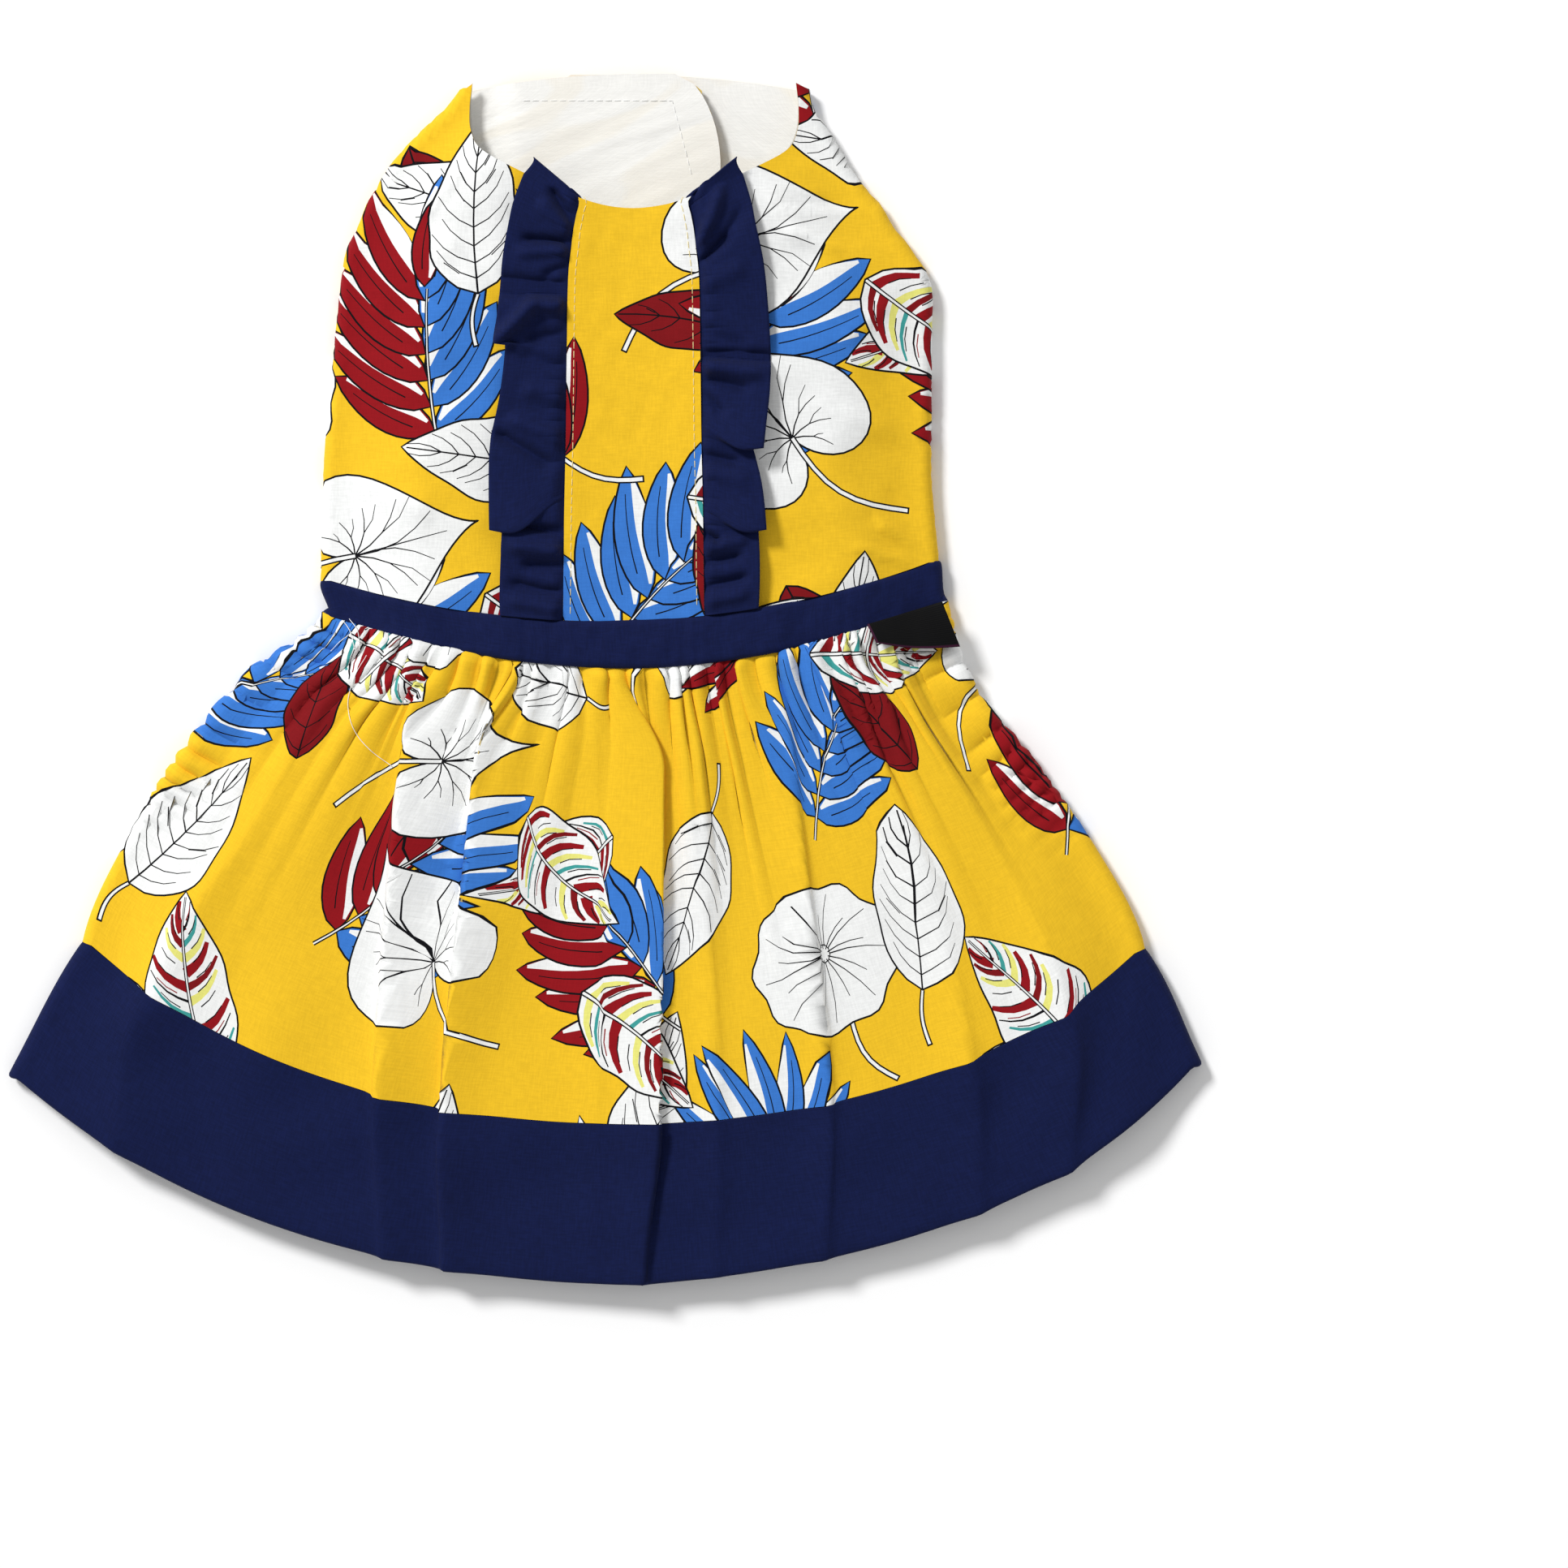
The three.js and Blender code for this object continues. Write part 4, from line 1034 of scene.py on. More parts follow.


# %% [markdown]
# ## Making cloth
# Whatever the piece, the cloth is made the same way: the outer face on the surface, an
# inner face a little below it, and a rim that joins them. A thread-true flat map goes
# with it, for the weave, and a second map lays both faces out on one texture sheet.

# %% Cloth from triangles
def normals_of(points, triangles):
    a, b, c = (points[triangles[:, k]] for k in range(3))
    face = np.cross(b - a, c - a)
    total = np.zeros_like(points)
    for k in range(3):
        np.add.at(total, triangles[:, k], face)
    return total / np.maximum(np.linalg.norm(total, axis=1), 1e-12)[:, None]


def surface_normals(place, flat, step=0.4):
    """The way out of a surface at flat places, so that shading doesn't depend on the triangles."""
    u, v = flat[:, 0], flat[:, 1]
    across = place(u + step, v) - place(u - step, v)
    along = place(u, v + step) - place(u, v - step)
    normal = np.cross(across, along)
    return normal / np.maximum(np.linalg.norm(normal, axis=1), 1e-9)[:, None]


# The two faces of a cloth lie side by side on its texture sheet, with a margin round each.
SHELF = 0.98
SHELF_HALF = 0.485
SHELF_NEXT = 0.505
SHELF_MARGIN = 0.005


def add_piece(name, mesh):
    """Puts a finished mesh in the scene as a piece of the dress."""
    piece = add_object(name, mesh)
    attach(piece, "root")
    print(name, "faces", len(mesh.polygons))
    return piece


def thin_cloth(name, points, triangles, tones, flat, materials, wall=0.55, outward=0.5, inner_tone=0,
               normal=None):
    """A closed thin sheet. points: the middle surface, flat: its place in the cloth, in mm."""
    used, triangles = np.unique(triangles, return_inverse=True)
    triangles = triangles.reshape(-1, 3)
    points, flat = points[used], flat[used]
    shaded = normal is not None
    normal = normal[used] if shaded else normals_of(points, triangles)
    outer = points + normal * outward
    inner = outer - normal * wall
    count = len(points)
    edges = np.concatenate([triangles[:, [0, 1]], triangles[:, [1, 2]], triangles[:, [2, 0]]])
    keys = np.sort(edges, axis=1)
    _, first, times = np.unique(keys, axis=0, return_index=True, return_counts=True)
    rim = edges[first[times == 1]]
    rim_a = np.stack([rim[:, 1], rim[:, 0], rim[:, 0] + count], 1)
    rim_b = np.stack([rim[:, 1], rim[:, 0] + count, rim[:, 1] + count], 1)
    faces = np.concatenate([triangles, triangles[:, ::-1] + count, rim_a, rim_b])
    slots = np.concatenate([tones, np.full(len(triangles), inner_tone), np.full(2 * len(rim), inner_tone)])
    mesh = bpy.data.meshes.new(name)
    places = (np.concatenate([outer, inner]) + SHIFT) / 1000
    mesh.vertices.add(len(places))
    mesh.vertices.foreach_set("co", places.ravel())
    mesh.loops.add(len(faces) * 3)
    mesh.loops.foreach_set("vertex_index", faces.ravel())
    mesh.polygons.add(len(faces))
    mesh.polygons.foreach_set("loop_start", np.arange(0, len(faces) * 3, 3))
    mesh.polygons.foreach_set("material_index", slots.astype(np.int32))
    mesh.polygons.foreach_set("use_smooth", np.ones(len(faces), bool))
    for material in materials:
        mesh.materials.append(material)
    low, high = flat.min(0), flat.max(0)
    share = (flat - low) / (high - low)
    tall = (high - low)[1] > (high - low)[0]
    shelf = share * (SHELF_HALF, SHELF) if tall else share * (SHELF, SHELF_HALF)
    aside = (SHELF_NEXT, 0.0) if tall else (0.0, SHELF_NEXT)
    unwrapped = np.concatenate([shelf + SHELF_MARGIN, shelf + SHELF_MARGIN + aside])
    on_faces = unwrapped[faces].copy()
    rim_rows = slice(2 * len(triangles), None)
    on_faces[rim_rows] = unwrapped[np.minimum(faces[rim_rows], faces[rim_rows] % count)]
    for label, values in (("OFBake", on_faces), ("weave", np.concatenate([flat, flat])[faces] / 100)):
        layer = mesh.uv_layers.new(name=label)
        layer.data.foreach_set("uv", values.astype(np.float32).ravel())
    mesh.uv_layers["OFBake"].active_render = True
    mesh.update(calc_edges=True)
    mesh.validate()
    if shaded:
        mesh.normals_split_custom_set_from_vertices(np.concatenate([normal, -normal]).tolist())
    return add_piece(name, mesh)


def grid_cloth(name, place, us, vs, materials, **options):
    """Cloth from an even grid. place: grid lines to the surface."""
    u, v = np.meshgrid(us, vs, indexing="ij")
    points = place(u, v).reshape(-1, 3)
    rows = len(vs)
    i, j = np.meshgrid(np.arange(len(us) - 1), np.arange(rows - 1), indexing="ij")
    a = (i * rows + j).ravel()
    quads = np.stack([a, a + rows, a + rows + 1, a + 1], 1)
    triangles = np.concatenate([quads[:, [0, 1, 2]], quads[:, [0, 2, 3]]])
    grid = points.reshape(len(us), rows, 3)
    steps = [np.linalg.norm(np.diff(grid, axis=k), axis=2).mean(1 - k) for k in (0, 1)]
    flat_u, flat_v = (np.concatenate([[0], np.cumsum(step)]) for step in steps)
    flat = np.stack(np.meshgrid(flat_u, flat_v, indexing="ij"), -1).reshape(-1, 2)
    return thin_cloth(name, points, triangles, np.zeros(len(triangles), int), flat, materials, **options)


# %% [markdown]
# ## Materials
# The cotton is plain woven from slightly uneven yarn. Its threads are about 0.3 mm apart,
# too fine to show from here, so what shows is the unevenness: faint streaks along and
# across, drawn about 0.6 mm wide, and a matt, slightly downy face. Every ink is the same
# cotton with another dye, so one function makes them all.

# %% Cotton
STREAK_WIDTH = 0.6
STREAK_LENGTH = 4.5


def woven(name, colour, streaks=0.075, relief=0.3, sheen=0.03, streak_width=STREAK_WIDTH,
          streak_length=STREAK_LENGTH, ghost=None):
    """Plain woven cotton of one dye, with the uneven threads as tone and relief."""
    material, tree = new_material(name)
    flat = add_node(tree, "ShaderNodeUVMap", {"uv_map": "weave"})
    streak_nodes = []
    for across, along in ((streak_width, streak_length), (streak_length, streak_width)):
        scaled = add_node(tree, "ShaderNodeMapping", None, {
            "Vector": flat.outputs["UV"], "Scale": (100 / across, 100 / along, 1)})
        streak_nodes.append(add_node(tree, "ShaderNodeTexNoise", {"noise_dimensions": "2D"}, {
            "Vector": scaled.outputs["Vector"], "Scale": 1.0, "Detail": 2.0, "Roughness": 0.6}))
    threads = add_node(tree, "ShaderNodeMath", {"operation": "ADD"}, {
        0: streak_nodes[0].outputs["Fac"], 1: streak_nodes[1].outputs["Fac"]})
    cloudy = add_node(tree, "ShaderNodeTexNoise", {"noise_dimensions": "2D"}, {
        "Vector": flat.outputs["UV"], "Scale": 6.0, "Detail": 3.0})
    both = add_node(tree, "ShaderNodeMath", {"operation": "MULTIPLY_ADD"}, {
        0: cloudy.outputs["Fac"], 1: 0.25, 2: threads.outputs["Value"]})
    dye = linear(colour)
    dark = tuple(c * (1 - streaks) for c in dye[:3]) + (1,)
    light = tuple(min(c * (1 + streaks * 0.6), 1) for c in dye[:3]) + (1,)
    tone = add_node(tree, "ShaderNodeMapRange", None, {
        "Value": both.outputs["Value"], "From Min": 0.85, "From Max": 1.5})
    mixed = add_node(tree, "ShaderNodeMix", {"data_type": "RGBA"}, {
        0: tone.outputs["Result"], 6: dark, 7: light})
    face = mixed.outputs[2]
    if ghost:
        spots = add_node(tree, "ShaderNodeTexVoronoi", {"voronoi_dimensions": "2D", "feature": "SMOOTH_F1"}, {
            "Vector": flat.outputs["UV"], "Scale": 3.4, "Smoothness": 0.25})
        share = add_node(tree, "ShaderNodeMapRange", {"interpolation_type": "SMOOTHSTEP"}, {
            "Value": spots.outputs["Distance"], "From Min": 0.4, "From Max": 0.5, "To Max": 0.2})
        face = add_node(tree, "ShaderNodeMix", {"data_type": "RGBA"}, {
            0: share.outputs["Result"], 6: face, 7: linear(ghost)}).outputs[2]
    give_surface(tree, threads.outputs["Value"], relief, 0.00012, {
        "Base Color": face, "Roughness": 0.88, "IOR": 1.47,
        "Sheen Weight": sheen, "Sheen Roughness": 0.5, "Specular IOR Level": 0.15})
    return material


PRINT_COLOURS = {
    "mustard": "#efc026", "white": "#eff0ef", "crimson": "#8f0f18", "blue": "#3a78cc", "ink": "#0b0b10",
    "teal": "#3f9c98", "lemon": "#e6e37c", "oxblood": "#7d1016", "reverse": "#e3c777",
}
print_inks = [woven("printed_cotton_" + ink, PRINT_COLOURS[ink]) for ink in INKS]
navy_cotton = woven("navy_cotton", "#0e1843", streaks=0.2, sheen=0.02)
white_lining = woven("white_cotton_lining", "#f1f0ec", streaks=0.05, sheen=0.02, ghost="#ecdfc2")
gauze = woven("open_weave_gauze", "#e9ebed", streaks=0.12, relief=0.6, streak_width=0.7, streak_length=3.0)
print("cotton materials", len(print_inks) + 3)

# %% [markdown]
# ## The skirt
# In the flat, the skirt is a strip as long as its folds need at the hem. The same length
# is squeezed into the waist seam, and that makes the gathers. The strip's length is
# measured along the folded cloth at the hem seam, so the print isn't stretched there.

# %% Skirt
top_columns = np.linspace(-1, 1, 5200)[1:-1]
skirt_columns = np.concatenate([np.linspace(-3, -1, 240), top_columns, np.linspace(1, 3, 240)])
seam_line = skirt_place(skirt_columns, np.ones_like(skirt_columns))
steps = np.linalg.norm(np.diff(seam_line, axis=0), axis=1)
skirt_u = np.concatenate([[0], np.cumsum(steps)])
skirt_u = skirt_u - np.interp(0, skirt_columns, skirt_u)
SKIRT_START = -0.012
print("skirt strip", round(skirt_u[-1] - skirt_u[0], 1), "mm long")


def skirt_from_flat(u, v):
    column = np.interp(u, skirt_u, skirt_columns)
    return skirt_place(column, -v / SKIRT_LENGTH)


def skirt_panel_outline():
    top, bottom = -SKIRT_START * SKIRT_LENGTH, -SKIRT_LENGTH
    along = np.arange(skirt_u[0], skirt_u[-1], 2.0)
    along[-1] = skirt_u[-1]
    down = np.arange(top, bottom, -3.0)[1:]
    corners = [np.stack([along, np.full_like(along, bottom)], 1),
               np.stack([np.full_like(down, skirt_u[-1]), down[::-1]], 1),
               np.stack([along[::-1], np.full_like(along, top)], 1),
               np.stack([np.full_like(down, skirt_u[0]), down], 1)]
    return np.concatenate(corners)


skirt_rows = np.concatenate([np.arange(1.0, -12, -1.4), np.arange(-13, -40, -2.2),
                             np.arange(-42, -SKIRT_LENGTH + 1, -3.5)])
skirt_outline = skirt_panel_outline()


def evenly(start, end, step):
    return np.linspace(start, end, max(int(round((end - start) / step)), 1), endpoint=False)


# The mesh has a line in every valley between two gathers, and is coarser underneath.
marks = np.interp(np.concatenate([[-3, -2], gather_edges, [2, 3]]), skirt_columns, skirt_u)
line_steps = [4.0, 1.3] + [1.7] * GATHERS + [1.3, 4.0]
skirt_lines = np.concatenate([evenly(a, b, step) for a, b, step in zip(marks, marks[1:], line_steps)])[1:]
VALLEY_END = -62.0
valleys = [((u, 1.0), (u, VALLEY_END)) for u in marks[2:-2]]
skirt_spots = spots_inside(skirt_outline, 0, 0, skirt_lines, skirt_rows)
is_under = np.abs(np.interp(skirt_spots[:, 0], skirt_u, skirt_columns)) > 2.02
skirt_spots = skirt_spots[~is_under | (np.arange(len(skirt_spots)) // len(skirt_lines) % 3 == 0)]
side_lines = np.concatenate([np.arange(u - 12, u + 12, 1.7) for u in (marks[2] + 3, marks[-3] - 3)])
side_spots = spots_inside(skirt_outline, 1.7, 0, side_lines, np.arange(-3, -100, -1.9))
skirt_spots = np.concatenate([skirt_spots, side_spots])
flat, triangles, tones = printed_mesh(skirt_outline, np.array([40.0, 30.0]), skirt_spots, valleys)
print("skirt cut", len(flat), "points", len(triangles), "triangles")
skirt_points = skirt_from_flat(flat[:, 0], flat[:, 1])
skirt = thin_cloth("skirt_cloth", skirt_points, triangles, tones, flat, print_inks,
                   inner_tone=INKS.index("reverse"), normal=surface_normals(skirt_from_flat, flat))
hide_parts("skirt")

# %% [markdown]
# ## The hem band
# The band is a strip of plain navy cotton sewn to the skirt's edge and turned up inside.
# It follows the skirt's own folds, so they run on into it, as pressed creases do.

# %% Hem band
def hem_place(column, row):
    """The band down to the hem, the round of the turn-up, and back up inside."""
    outer = skirt_place(column, np.minimum(row, 2))
    step = 1e-3
    edge_row = np.full_like(row, 2.0)
    edge = skirt_place(column, edge_row)
    across = skirt_place(column + step, edge_row) - skirt_place(column - step, edge_row)
    along = edge - skirt_place(column, edge_row - step)
    inward = np.cross(across, along)
    inward = inward / np.linalg.norm(inward, axis=-1)[..., None]
    down = along / np.linalg.norm(along, axis=-1)[..., None]
    radius = LAYER / 2
    turn = np.clip(row - 2, 0, 1)[..., None] * math.pi
    turned_edge = edge + down * radius * np.sin(turn) + inward * radius * (1 - np.cos(turn))
    up = 2 - (np.clip(row, 3, 4) - 3) * HEM_TURN_UP / HEM_DEPTH
    inside = skirt_place(column, up) + inward * LAYER
    which = row[..., None]
    return np.where(which <= 2, outer, np.where(which <= 3, turned_edge, inside))


hem_columns = np.interp(np.arange(skirt_u[0], skirt_u[-1] + 1, 1.7), skirt_u, skirt_columns)
hem_rows = np.concatenate([[1.004, 1.012, 1.03, 1.06], np.linspace(1.1, 2, 15), [2.25, 2.5, 2.75, 3, 3.5, 4]])
hem_band = grid_cloth("hem_band_cloth", hem_place, hem_columns, hem_rows[::-1], [navy_cotton])
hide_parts("hem_band")

# %% [markdown]
# ## Linings
# The skirt's lining is open gauze, one layer, tucked behind the hem's turn-up. The
# bodice's lining is a closer white cotton that follows the bodice inside: it is what
# shows through the neck.

# %% Skirt lining
lining_edge = 1 - LINING_SIDE_MARGIN / HALF_WAIST
lining_rows = np.linspace(0.003, 2 - (HEM_TURN_UP + 1) / HEM_DEPTH, 40)
skirt_lining = grid_cloth("skirt_lining_gauze", lambda u, v: skirt_place(u, v, False),
                          np.linspace(-lining_edge, lining_edge, 120), lining_rows[::-1], [gauze],
                          wall=0.4, outward=-LAYER - CLEARANCE + 0.2)
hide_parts("skirt_lining")


# %% Bodice lining
def bodice_lining_outline():
    """Both panels' outlines, joined over the back and scooped at the neck."""
    last = EDGE_POINTS - 1
    neck_point = int(round(last * NECKLINE_ROW / WAIST_ROW))
    right = np.concatenate([right_outline[last:], right_outline[:neck_point + 1]])
    left = np.concatenate([left_outline[last:], left_outline[:neck_point + 1]])[::-1]
    share = np.linspace(1, -1, 15)[1:-1]
    neck_y = mix(left[0][1], right[-1][1], (share + 1) / 2) - 3.4 * (1 - share ** 2)
    scoop = np.stack([np.abs(right[-1][0]) * share, neck_y], 1)
    waist_x = np.linspace(left[-1][0], right[0][0], 16)[1:-1]
    waist = np.stack([waist_x, waist_rise(waist_x) + CLEARANCE], 1)
    return np.concatenate([right, scoop, left, waist])


def cut_size(outline):
    """The flat width, length and area that a piece is cut to, in metres."""
    width, length = (outline.max(0) - outline.min(0)) / 1000
    return {"flat": (float(width), float(length)), "area": float(abs(area_of(outline))) / 1e6}


def cut_cloth(name, outline, place, step, material, **options):
    """A plain piece cut to an outline and laid on its surface."""
    outline = anticlockwise(outline)
    spots = spots_inside(outline, step, step)
    points = [tuple(p) for p in np.concatenate([outline, spots]).tolist()]
    result = delaunay_2d_cdt(points, [], [list(range(len(outline)))], 0, 1e-4, True)
    flat = np.array([tuple(p) for p in result[0]])
    triangles = np.array([t for t, owners in zip(result[2], result[5]) if owners])
    tones = np.zeros(len(triangles), int)
    return thin_cloth(name, place(flat[:, 0], flat[:, 1]), triangles, tones, flat, [material],
                      normal=surface_normals(place, flat), **options)


def lining_place(u, v):
    place = bodice_place(u, v, False)
    place[..., 2] += 0.12 * ripple(u, v, 26, 11) + 0.07 * ripple(u, v, 11, 12)
    return place


BODICE_STEP = 2.2
lining_outline = bodice_lining_outline()
bodice_lining = cut_cloth("bodice_lining_cotton", lining_outline, lining_place, BODICE_STEP, white_lining,
                          outward=-LAYER + 0.3)
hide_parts("bodice_lining")
print("lining cut", cut_size(lining_outline))

# %% [markdown]
# ## The bodice
# The two side panels are cut from the print, each at another spot of the repeat, so the
# leaves don't run on across a seam, as on most dresses of this kind.

# %% Side panels
def printed_panel(name, node, outline, corner, place, step):
    """A piece of the print. corner: the spot of the print where it is cut, in mm."""
    flat, triangles, tones = printed_mesh(outline, np.array(corner, float), spots_inside(outline, step, step))
    piece = thin_cloth(name, place(flat[:, 0], flat[:, 1]), triangles, tones, flat, print_inks,
                       inner_tone=INKS.index("reverse"), normal=surface_normals(place, flat))
    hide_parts(node)
    return piece


bodice_left = printed_panel("bodice_left_cloth", "bodice_left", left_outline, (60, 96),
                            bodice_place, BODICE_STEP)
bodice_right = printed_panel("bodice_right_cloth", "bodice_right", right_outline, (196, 4),
                             bodice_place, BODICE_STEP)


# %% Centre panel
def placket_span(y):
    """The left and right edges of the centre panel at a height."""
    rows = np.linspace(NECKLINE_ROW, WAIST_ROW, 200)
    edges = [panel_edge(side, rows) for side in (-1, 1)]
    return [np.interp(y, line_y[::-1], line_x[::-1]) for line_x, line_y in edges]


def placket_place(u, v):
    left, right = placket_span(v)
    share = np.clip((u - (left + right) / 2) / ((right - left) / 2), -1, 1)
    z = BACK_HEIGHT + 2 * LAYER - PLACKET_DIP * (1 - share ** 2)
    seam = bump((1 - np.abs(share)) * 20 / 2.2)
    z = z + 0.12 * ripple(u, v, 9, 21) + 0.15 * ripple(u * 0.4, v, 14, 22) - 0.25 * seam
    return np.stack([u, v, z], -1)


def placket_outline():
    rows = np.linspace(NECKLINE_ROW, WAIST_ROW, 40)
    left_x, left_y = panel_edge(-1, rows)
    right_x, right_y = panel_edge(1, rows)
    share = np.linspace(1, -1, 15)[1:-1]
    neck = np.stack([share * right_x[0], right_y[0] - PLACKET_SCOOP * (1 - share ** 2)], 1)
    waist_x = np.linspace(left_x[-1], right_x[-1], 15)
    waist = np.stack([waist_x, waist_rise(waist_x) + CLEARANCE], 1)
    right = np.stack([right_x, right_y], 1)[::-1][1:]
    return np.concatenate([waist, right, neck, np.stack([left_x, left_y], 1)[:-1]])


PLACKET_STEP = 1.6
placket = printed_panel("placket_cloth", "placket", placket_outline(), (96, 128), placket_place, PLACKET_STEP)

# %% [markdown]
# ## The ruffles
# A ruffle is a folded strip about one and a half times as long as the seam it is
# gathered into. Held on one side only, its free edge has too much length and falls into
# tongues, each lapping over the next, with small creases that fan out from the seam.

# %% Ruffles
# Where each tongue laps over the next one down, as a share of the seam, and its size.
RUFFLE_LAPS = {
    -1: table("at height width lean", [(0.725, 4.8, 0.036, 12.0)]),
    1: table("at height width lean", [(0.565, 4.6, 0.036, 8.0), (0.755, 4.4, 0.034, 8.5)]),
}
# Where the free edge starts anew, as shares of the seam.
RUFFLE_STEPS = {-1: [-0.02, 0.39, 0.725, 1.02], 1: [-0.02, 0.565, 0.755, 1.02]}
RUFFLE_REST = 2.1
RUFFLE_LOWEST = -2.9
RUFFLE_SWING = 0.9
RUFFLE_PINCH = 0.9
CREASE_STRENGTH = 2.1
# Creases: mm out from the seam and down it, start and end, then height and width.
RUFFLE_CREASES = {
    -1: [((0, 13), (12, 7), -1.3, 1.6), ((0, 15), (14, 11), 0.9, 1.8), ((-1, 17), (17, 22), -1.3, 1.6),
         ((-2, 21), (18, 27), 0.9, 2.2), ((-1, 27), (9, 33), -0.9, 1.6), ((-8, 36), (27, 35), -2.6, 2.4),
         ((-4, 40), (14, 39), 1.8, 2.0), ((9, 38), (22, 51), 2.2, 1.9), ((-1, 46), (13, 48), -1.2, 1.8),
         ((-2, 56), (17, 51), -0.8, 2.0), ((-2, 63), (15, 60), 0.9, 2.4), ((2, 85), (21, 73), -1.6, 1.9),
         ((-2, 78), (18, 68), 1.0, 2.4), ((-2, 103), (17, 99), -1.5, 1.7), ((-2, 107), (20, 106), 1.2, 2.0),
         ((-2, 111), (15, 111), -1.3, 1.6), ((-2, 119), (19, 116), -1.2, 1.6),
         ((-2, 123), (20, 121), 0.9, 1.8)],
    1: [((0, 17), (6, -4), -1.1, 1.4), ((-2, 21), (14, 7), 1.5, 1.9), ((-1, 28), (13, 18), -1.4, 1.7),
        ((2, 24), (19, 13), -0.8, 1.8), ((-2, 35), (16, 30), 0.7, 2.6), ((-2, 45), (15, 50), -0.7, 2.0),
        ((-6, 51), (26, 53), -2.0, 1.6), ((-2, 54), (20, 57), 1.2, 1.8), ((0, 57), (16, 61), -1.0, 1.5),
        ((0, 60), (8, 68), -1.0, 1.5), ((-2, 80), (16, 84), -1.0, 1.6), ((-2, 86), (18, 88), 0.8, 2.2),
        ((-1, 101), (8, 106), -1.5, 1.4), ((-2, 107), (18, 105), 0.9, 1.9), ((-2, 111), (16, 110), -1.3, 1.5),
        ((-2, 118), (18, 116), -1.3, 1.6), ((-2, 122), (18, 121), 0.8, 1.8)],
}


def ruffle_place(side, out, along):
    row = mix(NECKLINE_ROW, WAIST_ROW, along)
    seam_x, seam_y = panel_edge(side, row)
    laps = RUFFLE_LAPS[side]
    steps = np.array(RUFFLE_STEPS[side])
    section = np.clip(np.searchsorted(steps, along) - 1, 0, len(steps) - 2)
    within = (along - steps[section]) / (steps[section + 1] - steps[section])
    width = RUFFLE_WIDTH * track(RUFFLE_ROWS, "left" if side < 0 else "right", along)
    width = width * (0.9 + 0.17 * smooth(within))
    free = smooth(out * 1.15)
    lift = RUFFLE_SWING * np.sin(along * 26 + 2 * side + 1.3 * np.sin(along * 9)) * free
    push = 0.0
    for k in range(len(laps["at"])):
        ridge = bump((along - laps["at"][k]) / laps["width"][k], 1.6)
        lift = lift + laps["height"][k] * ridge * free * (1 - 0.3 * out ** 2)
        push = push + laps["lean"][k] * ridge
    for line in RUFFLE_CREASES[side]:
        lift = lift + CREASE_STRENGTH * crease(out * RUFFLE_WIDTH, along * BODICE_LENGTH, *line)
    pinched = np.abs(np.sin(along * 70 + 2.2 * np.sin(along * 15 + side))) ** 0.6
    lift = lift + RUFFLE_PINCH * (pinched - 0.5) * bump((out - 0.12) / 0.2) * smooth(out * 12)
    x = seam_x + side * (out * width - (1 - out) * RUFFLE_TUCK)
    follow = bodice_row("waist", row) * (waist_rise(x) - waist_rise(seam_x))
    y = seam_y + RUFFLE_RISE * out * smooth(1 - along * 3) + follow - push * free
    z = BACK_HEIGHT + LAYER + 0.3 + (RUFFLE_REST + np.maximum(lift, RUFFLE_LOWEST)) * smooth((out - 0.03) * 6)
    return np.stack([x, y, z], -1)


def make_ruffle(name, node, side):
    alongs = np.linspace(0, 1 - CLEARANCE / (BODICE_LENGTH * 1.1), 420)
    outs = np.linspace(0, 1, 22) ** 0.9
    ruffle = grid_cloth(name, partial(ruffle_place, side), outs[::side], alongs[::-1], [navy_cotton],
                        wall=0.7, outward=0.4)
    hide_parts(node)


make_ruffle("ruffle_left_cloth", "ruffle_left", -1)
make_ruffle("ruffle_right_cloth", "ruffle_right", 1)

# %% [markdown]
# ## The waistband
# The band is folded double over the seams of bodice and skirt, so it is thicker than the
# rest, with soft round edges, and the lumps of the gathers show through it a little.

# %% Waistband
BAND_PILLOW = 1.1
BAND_EDGE = 1.6
BAND_SWELL = 0.35
BAND_SINK = 0.9


def waistband_place(column, row):
    share = np.clip(row, -1, 0)
    place = skirt_place(column, share, False)
    ends = smooth((HALF_PLACKET + RUFFLE_WIDTH + RISE_RUN / 2 - np.abs(place[..., 0])) / (RISE_RUN / 2))
    on_top = np.abs(column) < 1
    inner = smooth((1 - np.abs(column)) * 12)
    from_edge = WAISTBAND_DEPTH * np.minimum(row + 1, -row)
    pillow = BAND_PILLOW * np.sqrt(np.clip(1 - (1 - np.clip(from_edge / BAND_EDGE, 0, 1)) ** 2, 0, 1))
    soft = BAND_SWELL * np.sin(math.pi * np.clip(row + 1, 0, 1))
    lumps = 0.22 * ripple(place[..., 0], place[..., 1], 9, 31) + 0.12 * ripple(place[..., 0], 0, 4, 32)
    lift = 2 * LAYER * ends + pillow + soft - BAND_SINK + lumps
    flat_side = pillow * 0.3 - 0.3
    turn = np.clip(np.abs(column) - 1, 0, 1) * math.pi
    out_x, out_y = side_out(side_of(column), share)
    normal = np.stack([out_x * np.sin(turn), out_y * np.sin(turn), np.cos(turn)], -1)
    place = place + normal * np.where(on_top, 0, flat_side)[..., None]
    place[..., 2] += np.where(on_top, lift * inner + flat_side * (1 - inner), 0)
    return place


stops = ((-3, -2, 20), (-2, -1, 14), (-1, 1, 260), (1, 2, 14), (2, 3, 20))
band_columns = np.concatenate([[-3]] + [np.linspace(*stop)[1:] for stop in stops])
band_rows = -1 + (1 - np.cos(np.linspace(0, math.pi, 26))) / 2
waistband = grid_cloth("waistband_cloth", waistband_place, band_columns, band_rows[::-1], [navy_cotton],
                       wall=0.9, outward=0.5)
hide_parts("waistband")

# %% [markdown]
# ## Stitches, label and loose parts
# Top stitches hold the centre panel on. Each is a short rise of thread, so each is its
# own small rounded body that dives into the cloth at both ends.

